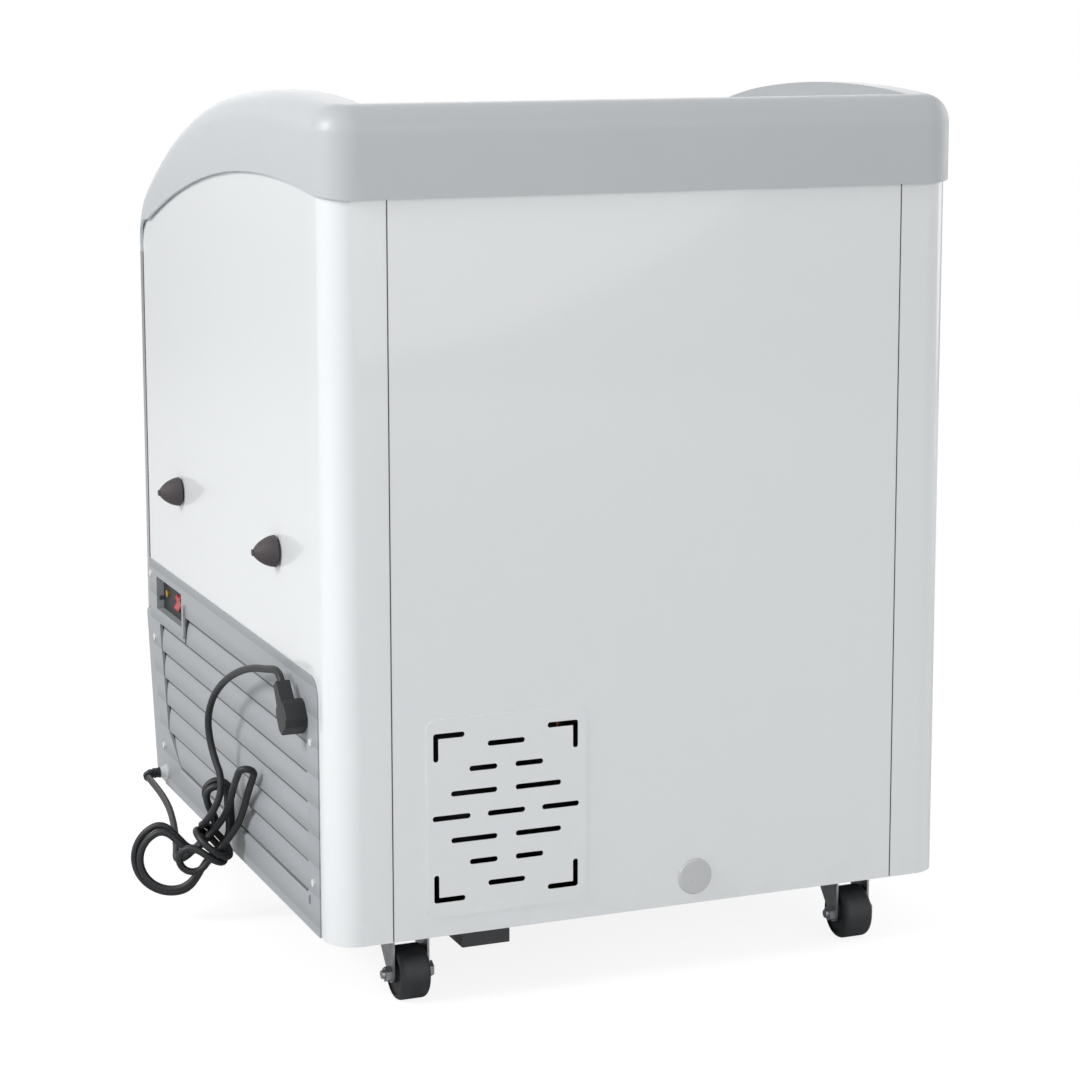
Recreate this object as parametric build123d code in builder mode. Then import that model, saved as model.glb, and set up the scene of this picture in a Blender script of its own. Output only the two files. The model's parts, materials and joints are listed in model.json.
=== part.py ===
from build123d import *
import os
from math import asin, atan2, cos, hypot, pi, radians, sin, sqrt, tan

# A small chest freezer on castors with two curved glass lids that slide left and right.
# Frame: +Z up, the front faces -Y, the right end is +X, and the origin is on the floor.
# All sizes are in millimetres.

os.makedirs("parts", exist_ok=True)

# Outer sheets
body_length = 617.0
body_depth = 654.0
front_edge = -body_depth / 2
rear_edge = body_depth / 2
leg_height = 66.0
sheet = 0.8
rear_corner_radius = 28.0
front_corner_radius = 9.0
front_top_z = 637.0
front_return = 22.0
seam_from_middle = 252.7
seam_gap = 0.4
sheet_lap = 14.0
sheet_into_cap = 6.0

# Leaning lower front
lean_top_z = 250.0
lean_run = 34.0
plinth_return = 36.5
plinth_wall = 2.2

# Underside line of the moulded frame along the ends
arch_radius = 1240.0
arch_peak_from_middle = 147.0
arch_peak_z = 746.7
skirt_turn = 56.0
skirt_step = 8.0

# Ridge of the moulded frame along the ends
crown_radius = 1430.0
crown_peak_from_middle = 165.0
crown_peak_z = 821.5
shoulder_radius = 700.0
shoulder_start_from_middle = 0.0
nose_radius = 77.0
nose_tilt = radians(31.5)

# Moulded frame
cap_overhang = 5.0
cap_wall = 3.0
cap_corner_radius = 35.0
cap_edge_radius = 26.0
hump_width = 40.0
bead_width = 26.0
track_width = 30.0

# Insulated walls
end_wall = 48.0
floor_wall = 48.0
liner_wall = 1.0
liner_corner_radius = 25.0
rim_width = 12.0
rail_reach = 7.0
rail_height = 10.0
rail_top_z = 600.0
coil_radius = 3.5
coil_pitch = 40.0
coil_turns = 6
coil_low_z = 400.0
coil_space = 8.0

# Compressor compartment
bay_from_middle = 35.0
bay_top_z = 300.0
pan_wall = 1.2

# Glass lids and tracks, as insets below the ridge and distances in front of a bead's wall
glass_thick = 4.0
upper_inset = 16.0
lid_step = 9.6
upper_glass_end = 5.0
upper_runner = (2.5, 13.0)
lower_glass_end = 18.5
lower_runner = (16.0, 27.4)
runner_above_glass = 2.5
runner_below_glass = 4.2
runner_gap = 0.3
glass_play = 0.1
fit_gap = 0.3
track_web = 2.0
track_fins = ((0.3, 2.0, 18.0), (13.5, 15.5, 22.5), (27.9, 29.7, 30.5))
track_step = 14.5
lower_trim_start = 30.2
lid_overlap = 30.0
lid_end_gap = 0.5
trim_width = 13.0
trim_wall = 1.5
upper_grip_height = 8.0
lower_grip_height = 2.0
grip_width = 5.0
grip_tilts = (radians(10.5), radians(21.0))

# Side grille on the right end, measured from the body's middle
grille_top_z = 305.0
grille_rear_from_middle = rear_edge - 36.6
grille_corner_radius = 20.0
grille_proud = 1.4
grille_thick = 3.0
grille_lap = 20.0
grille_top_lap = 12.0
grille_window_rear = rear_edge - 64.0
grille_screws_at = (
    (front_edge + 30.0, 290.0),
    (front_edge + 42.0, 222.0),
    (front_edge + 72.0, 109.0),
    (rear_edge - 55.0, 243.6),
    (rear_edge - 52.0, 113.5),
)
louvre_top_z = 268.8
louvre_pitch = 27.75
louvre_count = 6
louvre_wall = 1.6
louvre_set_back = 5.0
louvre_margin = 36.0
louvre_end_gap = 4.5
louvre_rear_from_middle = rear_edge - 69.0
first_louvre_from_middle = front_edge + 166.0
last_louvre_from_middle = front_edge + 140.0
grille_ridge_z = (89.2, 99.0)
grille_ridge_rise = 1.8
louvre_rib_depth = 10.0
louvre_rib_wall = 2.0
louvre_ribs = (front_edge + 177.0, 40.0, rear_edge - 92.0)

# Small screws
screw_radius = 1.8
screw_gap = 0.1
screw_head_radius = 3.6
screw_head_height = 1.8
screw_length = 9.0

# Control pocket in the side grille
pocket_front_from_middle = front_edge + 51.0
pocket_rear_from_middle = front_edge + 152.3
pocket_low_z = 255.0
pocket_high_z = 290.5
pocket_depth = 8.0
pocket_wall = 1.6
finger_rib = (36.0, 5.0, 2.5)
finger_rib_low_z = 246.0
plate_margin = 6.0
control_thick = 1.2
switch_from_middle = front_edge + 124.0
switch_z = 273.5
switch_size = 25.0
switch_bezel = 1.6
switch_body_size = 22.0
switch_body_depth = 18.0
rocker_radius = 9.4
rocker_length = 18.0
rocker_play = 0.4
rocker_pin_radius = 1.5
rocker_pin_length = 1.2
rocker_pivot_behind = 2.0
rocker_valley = 4.8
rocker_lobe = (8.2, 8.0)
rocker_tilt = 8.0
earth_from_middle = front_edge + 72.0
earth_z = 275.0
earth_head_radius = 4.0
earth_head_height = 2.5
earth_shank_radius = 2.0

# Cord gland
gland_from_middle = front_edge + 80.5
gland_z = 81.6
gland_radius = 8.0
gland_neck_radius = 6.5
gland_reach = 9.0
gland_flange = 2.0
gland_nose_radius = 5.5
gland_nut_radius = 10.0
gland_nut_height = 4.0

# Cord, with places measured from the body's middle
cord_radius = 3.5
bend_share = 0.45
lead_places = (
    (334.4, gland_from_middle, 81.6),
    (334.8, gland_from_middle + 24.5, 81.0),
    (335.5, gland_from_middle + 68.5, 79.5),
    (339.0, -132.0, 78.0),
    (345.0, -92.0, 75.0),
    (352.0, -56.0, 70.0),
    (358.5, -28.0, 64.0),
)
lead_turn_way = (0.2, 0.96, -0.2)
lead_turn_run = 13.0
lead_turn_steps = 3
plug_lead_run = 14.0
plug_from_middle = rear_edge - 99.4
plug_lead_places = (
    (338.5, 33.0, 188.0),
    (340.5, 33.0, 210.0),
    (339.0, 0.193 * plug_from_middle, 232.0),
    (336.5, 0.281 * plug_from_middle, 249.5),
    (334.0, 0.404 * plug_from_middle, 265.5),
    (331.5, 0.545 * plug_from_middle, 278.5),
    (329.0, 0.685 * plug_from_middle, 288.0),
    (326.0, 0.826 * plug_from_middle, 293.5),
)
plug_entry_run = 13.0

# Hank: loops drawn through a waist, which the cord's end wraps
hank_waist = (339.0, 30.0, 82.0)
hank_heading = radians(158.0)
bundle_lean = radians(47.0)
bundle_gap = 8.0
bundle_half = 12.0
bundle_step = 7.9
bundle_passes = 6
hank_loops = ((82.0, 64.0, 13.0), (199.0, 79.0, 36.0), (82.0, 60.0, 10.5), (199.0, 72.0, 30.5))
long_loop_way = (46.0, 97.0, 71.0)
long_loop_reach = 128.0
long_loop_half = 7.5
ring_center = (-18.0, 5.0)
ring_radius = 13.5
ring_climb = (1.0, 4.0, 8.0)
wrap_radius = 20.6
wrap_pitch = 7.7
wrap_quarters = 7
hank_exit = (13.0, 76.0, 16.0)
hank_exit_way = (-0.39, 0.8, -0.45)
straight_limit = 1e-6
gap_samples = 24
gap_skip = 18.0

# Plug: its blades rest in park holes of the side grille
plug_entry = (323.5, plug_from_middle, 289.8)
plug_tilt = radians(54.0)
plug_depth = 20.8
plug_block = ((20.0, 8.5), (26.0, 13.0), (42.0, 13.0), (48.0, 8.0))
plug_neck = ((0.0, 5.0), (24.0, 8.5))
plug_neck_depth = 13.0
plug_round = 1.5
blade_size = (6.3, 1.5)
blade_spacing = 12.7
blade_along = 38.0
earth_pin_radius = 2.4
earth_pin_along = 26.0
blade_length = 16.0

# Rear panel's pressed square and vents, measured from the body's middle
press_x = (65.3, 220.5)
press_z = (84.0, 268.0)
press_relief = 1.0
press_radius = 10.0
slot_width = 5.0
vent_center = (143.6, 176.2)
vent_pitch = 21.67
vent_rows = (
    (0, (-53.0, 0.0, 53.0), 36.4),
    (1, (-31.2, 31.2), 44.5),
    (2, (-22.3, 22.3), 27.0),
    (3, (0.0,), 36.0),
)
corner_slot_reach = (67.7, 76.0)
corner_slot_length = (30.0, 26.0)
port_center = (-45.3, 92.0)
port_radius = 15.0
port_cap_radius = 17.0
port_cap_rise = 3.0

# Compressor tray
tray_wall = 1.5
trough_x = (140.0, 186.0)
trough_low_z = 52.0
trough_y = (-60.0, rear_edge - 2.0)

# Thermostat, lamps and air slots in the leaning front, measured from the body's middle
lean_mid_z = 150.0
knob_from_middle = 215.0
knob_radius = 15.0
knob_height = 12.0
knob_gap = 0.3
shaft_radius = 3.0
thermostat_size = (44.0, 36.0, 26.0)
lamp_radius = 4.0
lamp_places = (140.0, 165.0)
lamp_rise = 2.0
intake_from_middle = 85.0
intake_rows = 8
intake_pitch = 12.0
intake_length = 70.0

# Wall spacers on the right end
spacer_reach = 24.0
spacer_from_middle = 170.3
spacer_z = 400.0
spacer_stud = (2.2, 6.0)
spacer_nib_radius = 3.2
spacer_profile = ((2.2, 15), (8.4, 13.7), (14.2, 11.0), (19.2, 7.2), (22.6, 3.2))

# Castors
wheel_radius = 25.0
wheel_width = 29.0
wheel_round = 5.0
wheel_dish = 2.0
wheel_rim = 5.0
hub_radius = 9.0
hub_boss_radius = 7.0
axle_radius = 4.0
running_gap = 0.05
caster_from_middle = 227.0
caster_trail = 18.0
rear_axle_from_middle = rear_edge - 34.0
front_axle_from_middle = front_edge + 60.0
fork_gap = 1.2
fork_wall = 2.0
fork_rear_reach = 8.5
tab_reach = (33.0, 47.0)
tab_tip_z = 44.0
crown_span = (57.4, 59.45)
race_low_z = 59.5
race_radius = 17.0
plate_low_z = 63.5
plate_size = (56.0, 50.0)
king_radius = 4.0
king_head = (7.0, 2.8)
axle_head = (7.5, 5.3)
axle_nut_span = 14.4
axle_end = 3.0

# Basket
basket_length = 240.0
basket_end_gap = 18.0
basket_low_z = 460.0
basket_rim_radius = 3.0
basket_wire_radius = 1.6
basket_wire_bend = 8.0
basket_wall_gap = 16.0
basket_pitch = 36.0
basket_corner = 5.0
basket_floor_rise = 6.0
basket_clip_gap = 0.2

# Compressor compartment, measured from the body's middle and the tray
can_center = (150.0, 170.0)
can_radius = 72.0
can_span = (92.0, 250.0)
can_round = 34.0
foot_plate = (170.0, 120.0, 3.0)
foot_pitch = (140.0, 92.0)
foot_radius = 10.0
foot_height = 20.0
cover_size = (56.0, 26.0, 60.0)
cover_z = 150.0
condenser_x = (62.0, 236.0)
condenser_y = (-195.0, -135.0)
condenser_z = (67.5, 245.0)
condenser_fins = 15
condenser_fin_wall = 1.0
condenser_tube_radius = 4.5
condenser_tube_rows = 6
condenser_tube_columns = 2
fan_center_x = 149.0
fan_bore = 70.0
fan_blade_reach = 66.0
fan_blade_count = 5
fan_hub_radius = 14.0
fan_hub_length = 16.0
fan_blade_pitch = radians(25.0)
fan_blade_widths = (22.0, 34.0)
fan_blade_wall = 1.6
fan_blade_sunk = 3.0
fan_shaft_radius = 3.0
shroud_wall = 2.0
shroud_depth = 24.0
motor_radius = 24.0
motor_length = 40.0
pipe_radius = 3.2
pipe_bend = 8.0
drier_radius = 9.0
drier_y = (-110.0, -10.0)
drier_x = 45.0
drier_z = 250.0
pipe_top_z = 275.0
pipe_from_can = 30.0
pipe_beside_drier = 25.0
pipe_past_drier = 60.0
return_behind_can = 40.0
return_step = 5.0

# Places that follow from the sizes
mid_x = (cap_overhang - spacer_reach) / 2
mid_y = -cap_overhang / 2
left_x = mid_x - body_length / 2
right_x = mid_x + body_length / 2
front_y = mid_y - body_depth / 2
rear_y = mid_y + body_depth / 2
base_z = leg_height
top_clear_z = crown_peak_z + 60.0
clear = 20.0
bay_x = mid_x + bay_from_middle
tank_left = left_x + end_wall
tank_right = right_x - end_wall
tank_floor = base_z + pan_wall + floor_wall
step_floor = bay_top_z + pan_wall + floor_wall
step_x = bay_x - floor_wall
lower_inset = upper_inset + lid_step
track_floor = lower_inset + glass_thick + runner_below_glass + runner_gap
recess_depth = track_floor + track_web
arch_peak_y = mid_y + arch_peak_from_middle
crown_peak_y = mid_y + crown_peak_from_middle
shoulder_start_y = mid_y + shoulder_start_from_middle
skirt_front_y = front_y + front_return
skirt_turn_y = front_y + skirt_turn
seam_foot_y = front_y + lean_run + plinth_return


def block(x_span, y_span, z_span, mode=Mode.ADD):
    # A plain block between two planes on each axis.
    center = [(low + high) / 2 for low, high in (x_span, y_span, z_span)]
    size = [abs(high - low) for low, high in (x_span, y_span, z_span)]
    with Locations(tuple(center)):
        Box(*size, mode=mode)


def from_middle(point):
    return (mid_x + point[0], mid_y + point[1], point[2])


def save(builder, label):
    builder.part.label = label
    export_step(builder.part, f"parts/{label}.step")


def arch_z(y, lift=0.0):
    return arch_peak_z + lift - arch_radius + sqrt(arch_radius**2 - (y - arch_peak_y) ** 2)


def skirt_edges(rear_end, front_end, lift=0.0):
    # The underside line of the moulded frame, from its rear to its front.
    turn_z = arch_z(skirt_turn_y, lift)
    middle_y = (rear_end + skirt_turn_y) / 2
    foot_z = front_top_z + lift
    knee = (skirt_front_y, foot_z + skirt_step)
    places = (rear_end, middle_y, skirt_turn_y)
    ThreePointArc(*((y, arch_z(y, lift)) for y in places))
    TangentArc(knee, (skirt_turn_y, turn_z), tangent=(0, 1))
    Polyline(knee, (skirt_front_y, foot_z), (front_end, foot_z))


def skirt_cut(limit_z, lift=0.0, mode=Mode.SUBTRACT):
    # The space between the moulded frame's underside line and a level above or below it.
    rear_end = rear_y + clear
    front_end = front_y - clear
    with BuildSketch(Plane.YZ.offset(left_x - clear)) as region:
        with BuildLine():
            skirt_edges(rear_end, front_end, lift)
            Polyline(
                (front_end, front_top_z + lift),
                (front_end, limit_z),
                (rear_end, limit_z),
                (rear_end, arch_z(rear_end, lift)),
            )
        make_face()
    extrude(region.sketch, amount=body_length + 2 * clear, mode=mode)


def lean_y(z, inset=0.0):
    # The leaning lower front, moved inward by the inset.
    return front_y + inset + lean_run * (lean_top_z - z) / (lean_top_z - base_z)


def seam_outline_y(z):
    # The seam between the front pieces and the side sheets.
    if z >= lean_top_z:
        return front_y + front_return
    share = (lean_top_z - z) / (lean_top_z - base_z)
    return front_y + front_return + share * (seam_foot_y - front_y - front_return)


def trim_front_of(points):
    # Cuts away all that lies in front of a line of (y, z) points, given from the top down.
    (top_y, top_z), (foot_y, foot_z) = points[0], points[-1]
    with BuildSketch(Plane.YZ.offset(left_x - clear)) as region:
        with BuildLine():
            Polyline(*points, (foot_y, foot_z - clear), (front_y - clear, foot_z - clear),
                     (front_y - clear, top_z), (top_y, top_z))
        make_face()
    extrude(region.sketch, amount=body_length + 2 * clear, mode=Mode.SUBTRACT)


def body_column(inset, z_span, mode=Mode.ADD):
    # The body's plan as a column with rounded corners.
    with BuildSketch(Plane.XY.offset(z_span[0])) as plan:
        with Locations((mid_x, mid_y)):
            Rectangle(body_length - 2 * inset, body_depth - 2 * inset)
        corners = plan.vertices().sort_by(Axis.Y)
        fillet(corners[:2], front_corner_radius - inset)
        fillet(plan.vertices().sort_by(Axis.Y)[-2:], rear_corner_radius - inset)
    extrude(plan.sketch, amount=z_span[1] - z_span[0], mode=mode)


# Ridge curve: three arcs that meet smoothly, named by how far the surface has tilted forward.
crown_center = (crown_peak_y, crown_peak_z - crown_radius)
shoulder_tilt = asin((crown_peak_y - shoulder_start_y) / crown_radius)


def beyond(center, tilt, reach):
    return (center[0] - reach * sin(tilt), center[1] + reach * cos(tilt))


shoulder_center = beyond(crown_center, shoulder_tilt, crown_radius - shoulder_radius)
nose_center = beyond(shoulder_center, nose_tilt, shoulder_radius - nose_radius)


def ridge_point(tilt, inset=0.0):
    if tilt <= shoulder_tilt:
        return beyond(crown_center, tilt, crown_radius - inset)
    if tilt <= nose_tilt:
        return beyond(shoulder_center, tilt, shoulder_radius - inset)
    return beyond(nose_center, tilt, nose_radius - inset)


def ridge_edges(start_tilt, end_tilt, inset):
    knots = [start_tilt]
    knots += [tilt for tilt in (shoulder_tilt, nose_tilt) if start_tilt < tilt < end_tilt]
    knots.append(end_tilt)
    for first, last in zip(knots, knots[1:]):
        middle = (first + last) / 2
        ThreePointArc(ridge_point(first, inset), ridge_point(middle, inset), ridge_point(last, inset))


def ridge_strip(start_tilt, end_tilt, outer_inset, inner_inset):
    # A strip that follows the ridge curve between two insets.
    with BuildLine() as outline:
        ridge_edges(start_tilt, end_tilt, outer_inset)
        Line(ridge_point(end_tilt, outer_inset), ridge_point(end_tilt, inner_inset))
        ridge_edges(start_tilt, end_tilt, inner_inset)
        Line(ridge_point(start_tilt, inner_inset), ridge_point(start_tilt, outer_inset))
    make_face(outline.edges())


def rear_tilt(y, inset=0.0):
    return asin((crown_peak_y - y) / (crown_radius - inset))


bead_rear_tilt = rear_tilt(rear_y + cap_overhang - bead_width)
bead_front_tilt = nose_tilt
rear_reach = crown_radius - recess_depth
front_reach = shoulder_radius - recess_depth
tank_rear = ridge_point(bead_rear_tilt + track_width / rear_reach, recess_depth)[0]
tank_front = ridge_point(bead_front_tilt - track_width / front_reach, recess_depth)[0]
nose_front_y = nose_center[0] - nose_radius
hump_left_x = left_x + hump_width
hump_right_x = right_x - hump_width


def cap_block(builder, inset):
    # The moulded frame's outer form, or its inside when an inset is given, with a flat foot.
    cap_rear_y = rear_y + cap_overhang - inset
    start_tilt = rear_tilt(cap_rear_y, inset)
    nose_y = nose_front_y + inset
    foot_z = front_top_z - clear
    end_reach = cap_overhang - inset
    with BuildSketch(Plane.YZ.offset(left_x - end_reach)) as profile:
        with BuildLine():
            ridge_edges(start_tilt, pi / 2, inset)
            Polyline(
                (nose_y, nose_center[1]),
                (nose_y, foot_z),
                (cap_rear_y, foot_z),
                ridge_point(start_tilt, inset),
            )
        make_face()
    extrude(profile.sketch, amount=body_length + 2 * end_reach)
    uprights = builder.edges().filter_by(Axis.Z).group_by(Axis.Y)[-1]
    fillet(uprights, cap_corner_radius - inset)
    rims = builder.edges().filter_by(GeomType.CIRCLE)
    crowns = [edge for edge in rims if edge.center().Z > front_top_z + clear]
    fillet(crowns, cap_edge_radius - inset)


def throat_block(grow, mode):
    block(
        (tank_left - grow, tank_right + grow),
        (tank_front - grow, tank_rear + grow),
        (front_top_z - 2 * clear, top_clear_z),
        mode,
    )


def recess_block(grow, mode):
    # The place between the humps where the tracks and lids lie.
    start_tilt = bead_rear_tilt - grow / crown_radius
    end_tilt = bead_front_tilt + grow / nose_radius
    with BuildSketch(Plane.YZ.offset(hump_left_x - grow)) as profile:
        ridge_strip(start_tilt, end_tilt, -clear, recess_depth + grow)
    extrude(profile.sketch, amount=hump_right_x - hump_left_x + 2 * grow, mode=mode)


# Moulded top frame: one hollow piece, open below, with a bay for the lids between two humps.
with BuildPart() as frame_void:
    cap_block(frame_void, cap_wall)
    recess_block(cap_wall, Mode.SUBTRACT)
    throat_block(cap_wall, Mode.SUBTRACT)

with BuildPart() as top_frame:
    cap_block(top_frame, 0.0)
    skirt_cut(front_top_z - 2 * clear)
    recess_block(0.0, Mode.SUBTRACT)
    throat_block(0.0, Mode.SUBTRACT)
    add(frame_void.part, mode=Mode.SUBTRACT)
save(top_frame, "top_frame")


# Outer sheets
seam_points = (
    (front_y + front_return, top_clear_z),
    (front_y + front_return, lean_top_z),
    (seam_foot_y, base_z),
)
side_plane = Plane(origin=(right_x, mid_y, 0), x_dir=(0, 1, 0), z_dir=(1, 0, 0))
rear_plane = Plane(origin=(mid_x, rear_y, 0), x_dir=(1, 0, 0), z_dir=(0, -1, 0))
face_plane = side_plane.offset(grille_proud)


def seam_from_mid(z, margin=0.0):
    return seam_outline_y(z) - mid_y + margin


def side_panel(side):
    # A white sheet that covers one end and wraps the rear corner.
    seam_x = mid_x + side * seam_from_middle
    with BuildPart() as panel:
        body_column(0.0, (base_z, top_clear_z))
        body_column(sheet, (base_z, top_clear_z), Mode.SUBTRACT)
        block(
            (seam_x, mid_x - side * body_length),
            (front_y - clear, rear_y + clear),
            (base_z - clear, top_clear_z + clear),
            Mode.SUBTRACT,
        )
        trim_front_of(seam_points)
        skirt_cut(top_clear_z + clear, sheet_into_cap)
    return panel


left_side_panel = side_panel(-1)
save(left_side_panel, "left_side_panel")


def grille_window(gap):
    # The opening in the right end behind the side grille, made smaller by a gap.
    low_z = grille_ridge_z[0] + gap
    high_z = grille_top_z - grille_top_lap - gap
    margin = grille_lap + gap
    return (
        (seam_from_mid(lean_top_z, margin), high_z),
        (seam_from_mid(lean_top_z, margin), lean_top_z),
        (seam_from_mid(low_z, margin), low_z),
        (grille_window_rear - gap, low_z),
        (grille_window_rear - gap, high_z),
    )


right_panel = side_panel(1)
with BuildPart() as right_side_panel:
    add(right_panel.part)
    with BuildSketch(side_plane.offset(-clear)) as window:
        with BuildLine():
            Polyline(
                *grille_window(0.0),
                close=True,
            )
        make_face()
        with Locations((gland_from_middle, gland_z)):
            Circle(gland_radius + fit_gap)
        with Locations(*grille_screws_at):
            Circle(screw_radius + screw_gap)
    extrude(window.sketch, amount=2 * clear, mode=Mode.SUBTRACT)
save(right_side_panel, "right_side_panel")


def seam_flanges(mode=Mode.ADD):
    # The rear panel's stepped edges, which lie behind the side sheets.
    for side in (-1, 1):
        block(
            (mid_x + side * (seam_from_middle - 2 * sheet), mid_x + side * (seam_from_middle + sheet_lap)),
            (rear_y - 2 * sheet, rear_y - sheet),
            (base_z, top_clear_z),
            mode,
        )


with BuildPart() as rear_panel:
    block(
        (mid_x - seam_from_middle + seam_gap, mid_x + seam_from_middle - seam_gap),
        (rear_y - sheet, rear_y),
        (base_z, top_clear_z),
    )
    seam_flanges()
    skirt_cut(top_clear_z + clear, sheet_into_cap)
    with BuildSketch(rear_plane.offset(-press_relief)) as pressed:
        with Locations(((press_x[0] + press_x[1]) / 2, (press_z[0] + press_z[1]) / 2)):
            RectangleRounded(press_x[1] - press_x[0], press_z[1] - press_z[0], press_radius)
    extrude(pressed.sketch, amount=press_relief + sheet)
    with BuildSketch(rear_plane.offset(sheet - press_relief)) as hollow:
        with Locations(((press_x[0] + press_x[1]) / 2, (press_z[0] + press_z[1]) / 2)):
            RectangleRounded(
                press_x[1] - press_x[0] - 2 * sheet,
                press_z[1] - press_z[0] - 2 * sheet,
                press_radius - sheet,
            )
    extrude(hollow.sketch, amount=press_relief + sheet, mode=Mode.SUBTRACT)
    with BuildSketch(rear_plane.offset(-clear)) as vents:
        for row, offsets, length in vent_rows:
            for side in {row, -row}:
                for offset in offsets:
                    with Locations((vent_center[0] + offset, vent_center[1] + side * vent_pitch)):
                        SlotOverall(length, slot_width)
        for side_x in (-1, 1):
            for side_z in (-1, 1):
                corner_x = vent_center[0] + side_x * corner_slot_reach[0]
                corner_z = vent_center[1] + side_z * corner_slot_reach[1]
                inner_x = corner_x - side_x * (corner_slot_length[0] - slot_width) / 2
                inner_z = corner_z - side_z * (corner_slot_length[1] - slot_width) / 2
                with Locations((inner_x, corner_z)):
                    SlotOverall(corner_slot_length[0], slot_width)
                with Locations((corner_x, inner_z)):
                    SlotOverall(corner_slot_length[1], slot_width, rotation=90)
        with Locations(port_center):
            Circle(port_radius)
    extrude(vents.sketch, amount=2 * clear, mode=Mode.SUBTRACT)
save(rear_panel, "rear_panel")

with BuildPart() as foam_port_cap:
    with BuildSketch(rear_plane) as disc:
        with Locations(port_center):
            Circle(port_cap_radius)
    extrude(disc.sketch, amount=-port_cap_rise)
    dome = foam_port_cap.edges().filter_by(GeomType.CIRCLE).sort_by(Axis.Y)[-1:]
    fillet(dome, port_cap_rise - sheet)
    with BuildSketch(rear_plane) as plug_face:
        with Locations(port_center):
            Circle(port_radius - fit_gap)
    extrude(plug_face.sketch, amount=2 * port_cap_rise)
save(foam_port_cap, "foam_port_cap")

with BuildPart() as front_panel:
    body_column(0.0, (lean_top_z, front_top_z))
    body_column(sheet, (lean_top_z, front_top_z - sheet), Mode.SUBTRACT)
    block(
        (left_x - clear, right_x + clear),
        (front_y + front_return - seam_gap, rear_y + clear),
        (lean_top_z - clear, top_clear_z),
        Mode.SUBTRACT,
    )
save(front_panel, "front_panel")


# Leaning front grille at the foot
lean_angle = atan2(lean_run, lean_top_z - base_z)
lean_plane = Plane(
    origin=(mid_x, lean_y(lean_mid_z), lean_mid_z),
    x_dir=(1, 0, 0),
    z_dir=(0, -cos(lean_angle), -sin(lean_angle)),
)


def lean_outline(inset, past):
    # What stands behind the leaning front, past its foot, its top and its rear by a distance.
    low_z = base_z - past
    high_z = lean_top_z + past
    Polyline(
        (lean_y(high_z, inset), high_z),
        (lean_y(low_z, inset), low_z),
        (seam_foot_y + past - seam_gap, low_z),
        (front_y + front_return + past - seam_gap, high_z),
        close=True,
    )


with BuildPart() as front_grille:
    with BuildSketch(Plane.YZ.offset(left_x)) as outside:
        with BuildLine():
            lean_outline(0.0, 0.0)
        make_face()
    extrude(amount=body_length)
    fillet(front_grille.edges().filter_by(Plane.YZ).group_by(Axis.Y)[0], front_corner_radius)
    with BuildSketch(Plane.YZ.offset(left_x + plinth_wall)) as inside:
        with BuildLine():
            lean_outline(plinth_wall, clear)
        make_face()
    extrude(amount=body_length - 2 * plinth_wall, mode=Mode.SUBTRACT)
    with BuildSketch(lean_plane) as openings:
        with Locations((intake_from_middle, 0)):
            with GridLocations(0, intake_pitch, 1, intake_rows):
                SlotOverall(intake_length, slot_width)
        with Locations((knob_from_middle, 0)):
            Circle(shaft_radius + fit_gap)
        with Locations(*((place, 0) for place in lamp_places)):
            Circle(lamp_radius)
    extrude(amount=-2 * plinth_wall, mode=Mode.SUBTRACT)
save(front_grille, "front_grille")


# What the leaning grille leaves free inside the body
def fit_behind_grille(inset):
    # Cuts a piece back to the inner faces of the front panel and the leaning grille.
    trim_front_of(
        (
            (front_y + inset, top_clear_z),
            (front_y + inset, lean_top_z),
            (lean_y(lean_top_z, plinth_wall), lean_top_z),
            (lean_y(base_z, plinth_wall), base_z),
        )
    )
    for side in (-1, 1):
        end_x = mid_x + side * body_length / 2
        block(
            (end_x - side * plinth_wall, end_x + side * clear),
            (front_y, seam_foot_y),
            (base_z - clear, lean_top_z),
            Mode.SUBTRACT,
        )


with BuildPart() as inner_column:
    body_column(sheet, (trough_low_z, top_clear_z))
    seam_flanges(Mode.SUBTRACT)

# Floor of the body: one stepped sheet, raised over the compressor compartment
with BuildPart() as base_pan:
    with BuildSketch(Plane.XZ.offset(-rear_y)) as step:
        with BuildLine():
            Polyline(
                (left_x, base_z),
                (bay_x, base_z),
                (bay_x, bay_top_z),
                (right_x, bay_top_z),
                (right_x, bay_top_z + pan_wall),
                (bay_x - pan_wall, bay_top_z + pan_wall),
                (bay_x - pan_wall, base_z + pan_wall),
                (left_x, base_z + pan_wall),
                close=True,
            )
        make_face()
    extrude(amount=body_depth)
    add(inner_column.part, mode=Mode.INTERSECT)
    fit_behind_grille(sheet)
save(base_pan, "base_pan")

with BuildPart() as compressor_tray:
    block((bay_x, right_x), (front_y, rear_y), (base_z, base_z + tray_wall))
    trough = [mid_x + place for place in trough_x]
    trough_ends = [mid_y + place for place in trough_y]
    block(trough, trough_ends, (trough_low_z, base_z + tray_wall))
    block(
        (trough[0] + tray_wall, trough[1] - tray_wall),
        (trough_ends[0] + tray_wall, trough_ends[1] - tray_wall),
        (trough_low_z + tray_wall, base_z + 2 * tray_wall),
        Mode.SUBTRACT,
    )
    add(inner_column.part, mode=Mode.INTERSECT)
    fit_behind_grille(sheet)
save(compressor_tray, "compressor_tray")


# Liner, insulation and the coil wound round the liner
deep_span = (tank_left, step_x)
full_span = (tank_left, tank_right)


def tank_column(grow, x_span, z_span, mode=Mode.ADD):
    # The tank's plan with rounded corners, grown outward, between two levels.
    low_x, high_x = x_span
    with BuildSketch(Plane.XY.offset(z_span[0])) as plan:
        with Locations(((low_x + high_x) / 2, (tank_front + tank_rear) / 2)):
            RectangleRounded(
                high_x - low_x + 2 * grow, tank_rear - tank_front + 2 * grow, liner_corner_radius + grow
            )
    extrude(plan.sketch, amount=z_span[1] - z_span[0], mode=mode)


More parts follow.
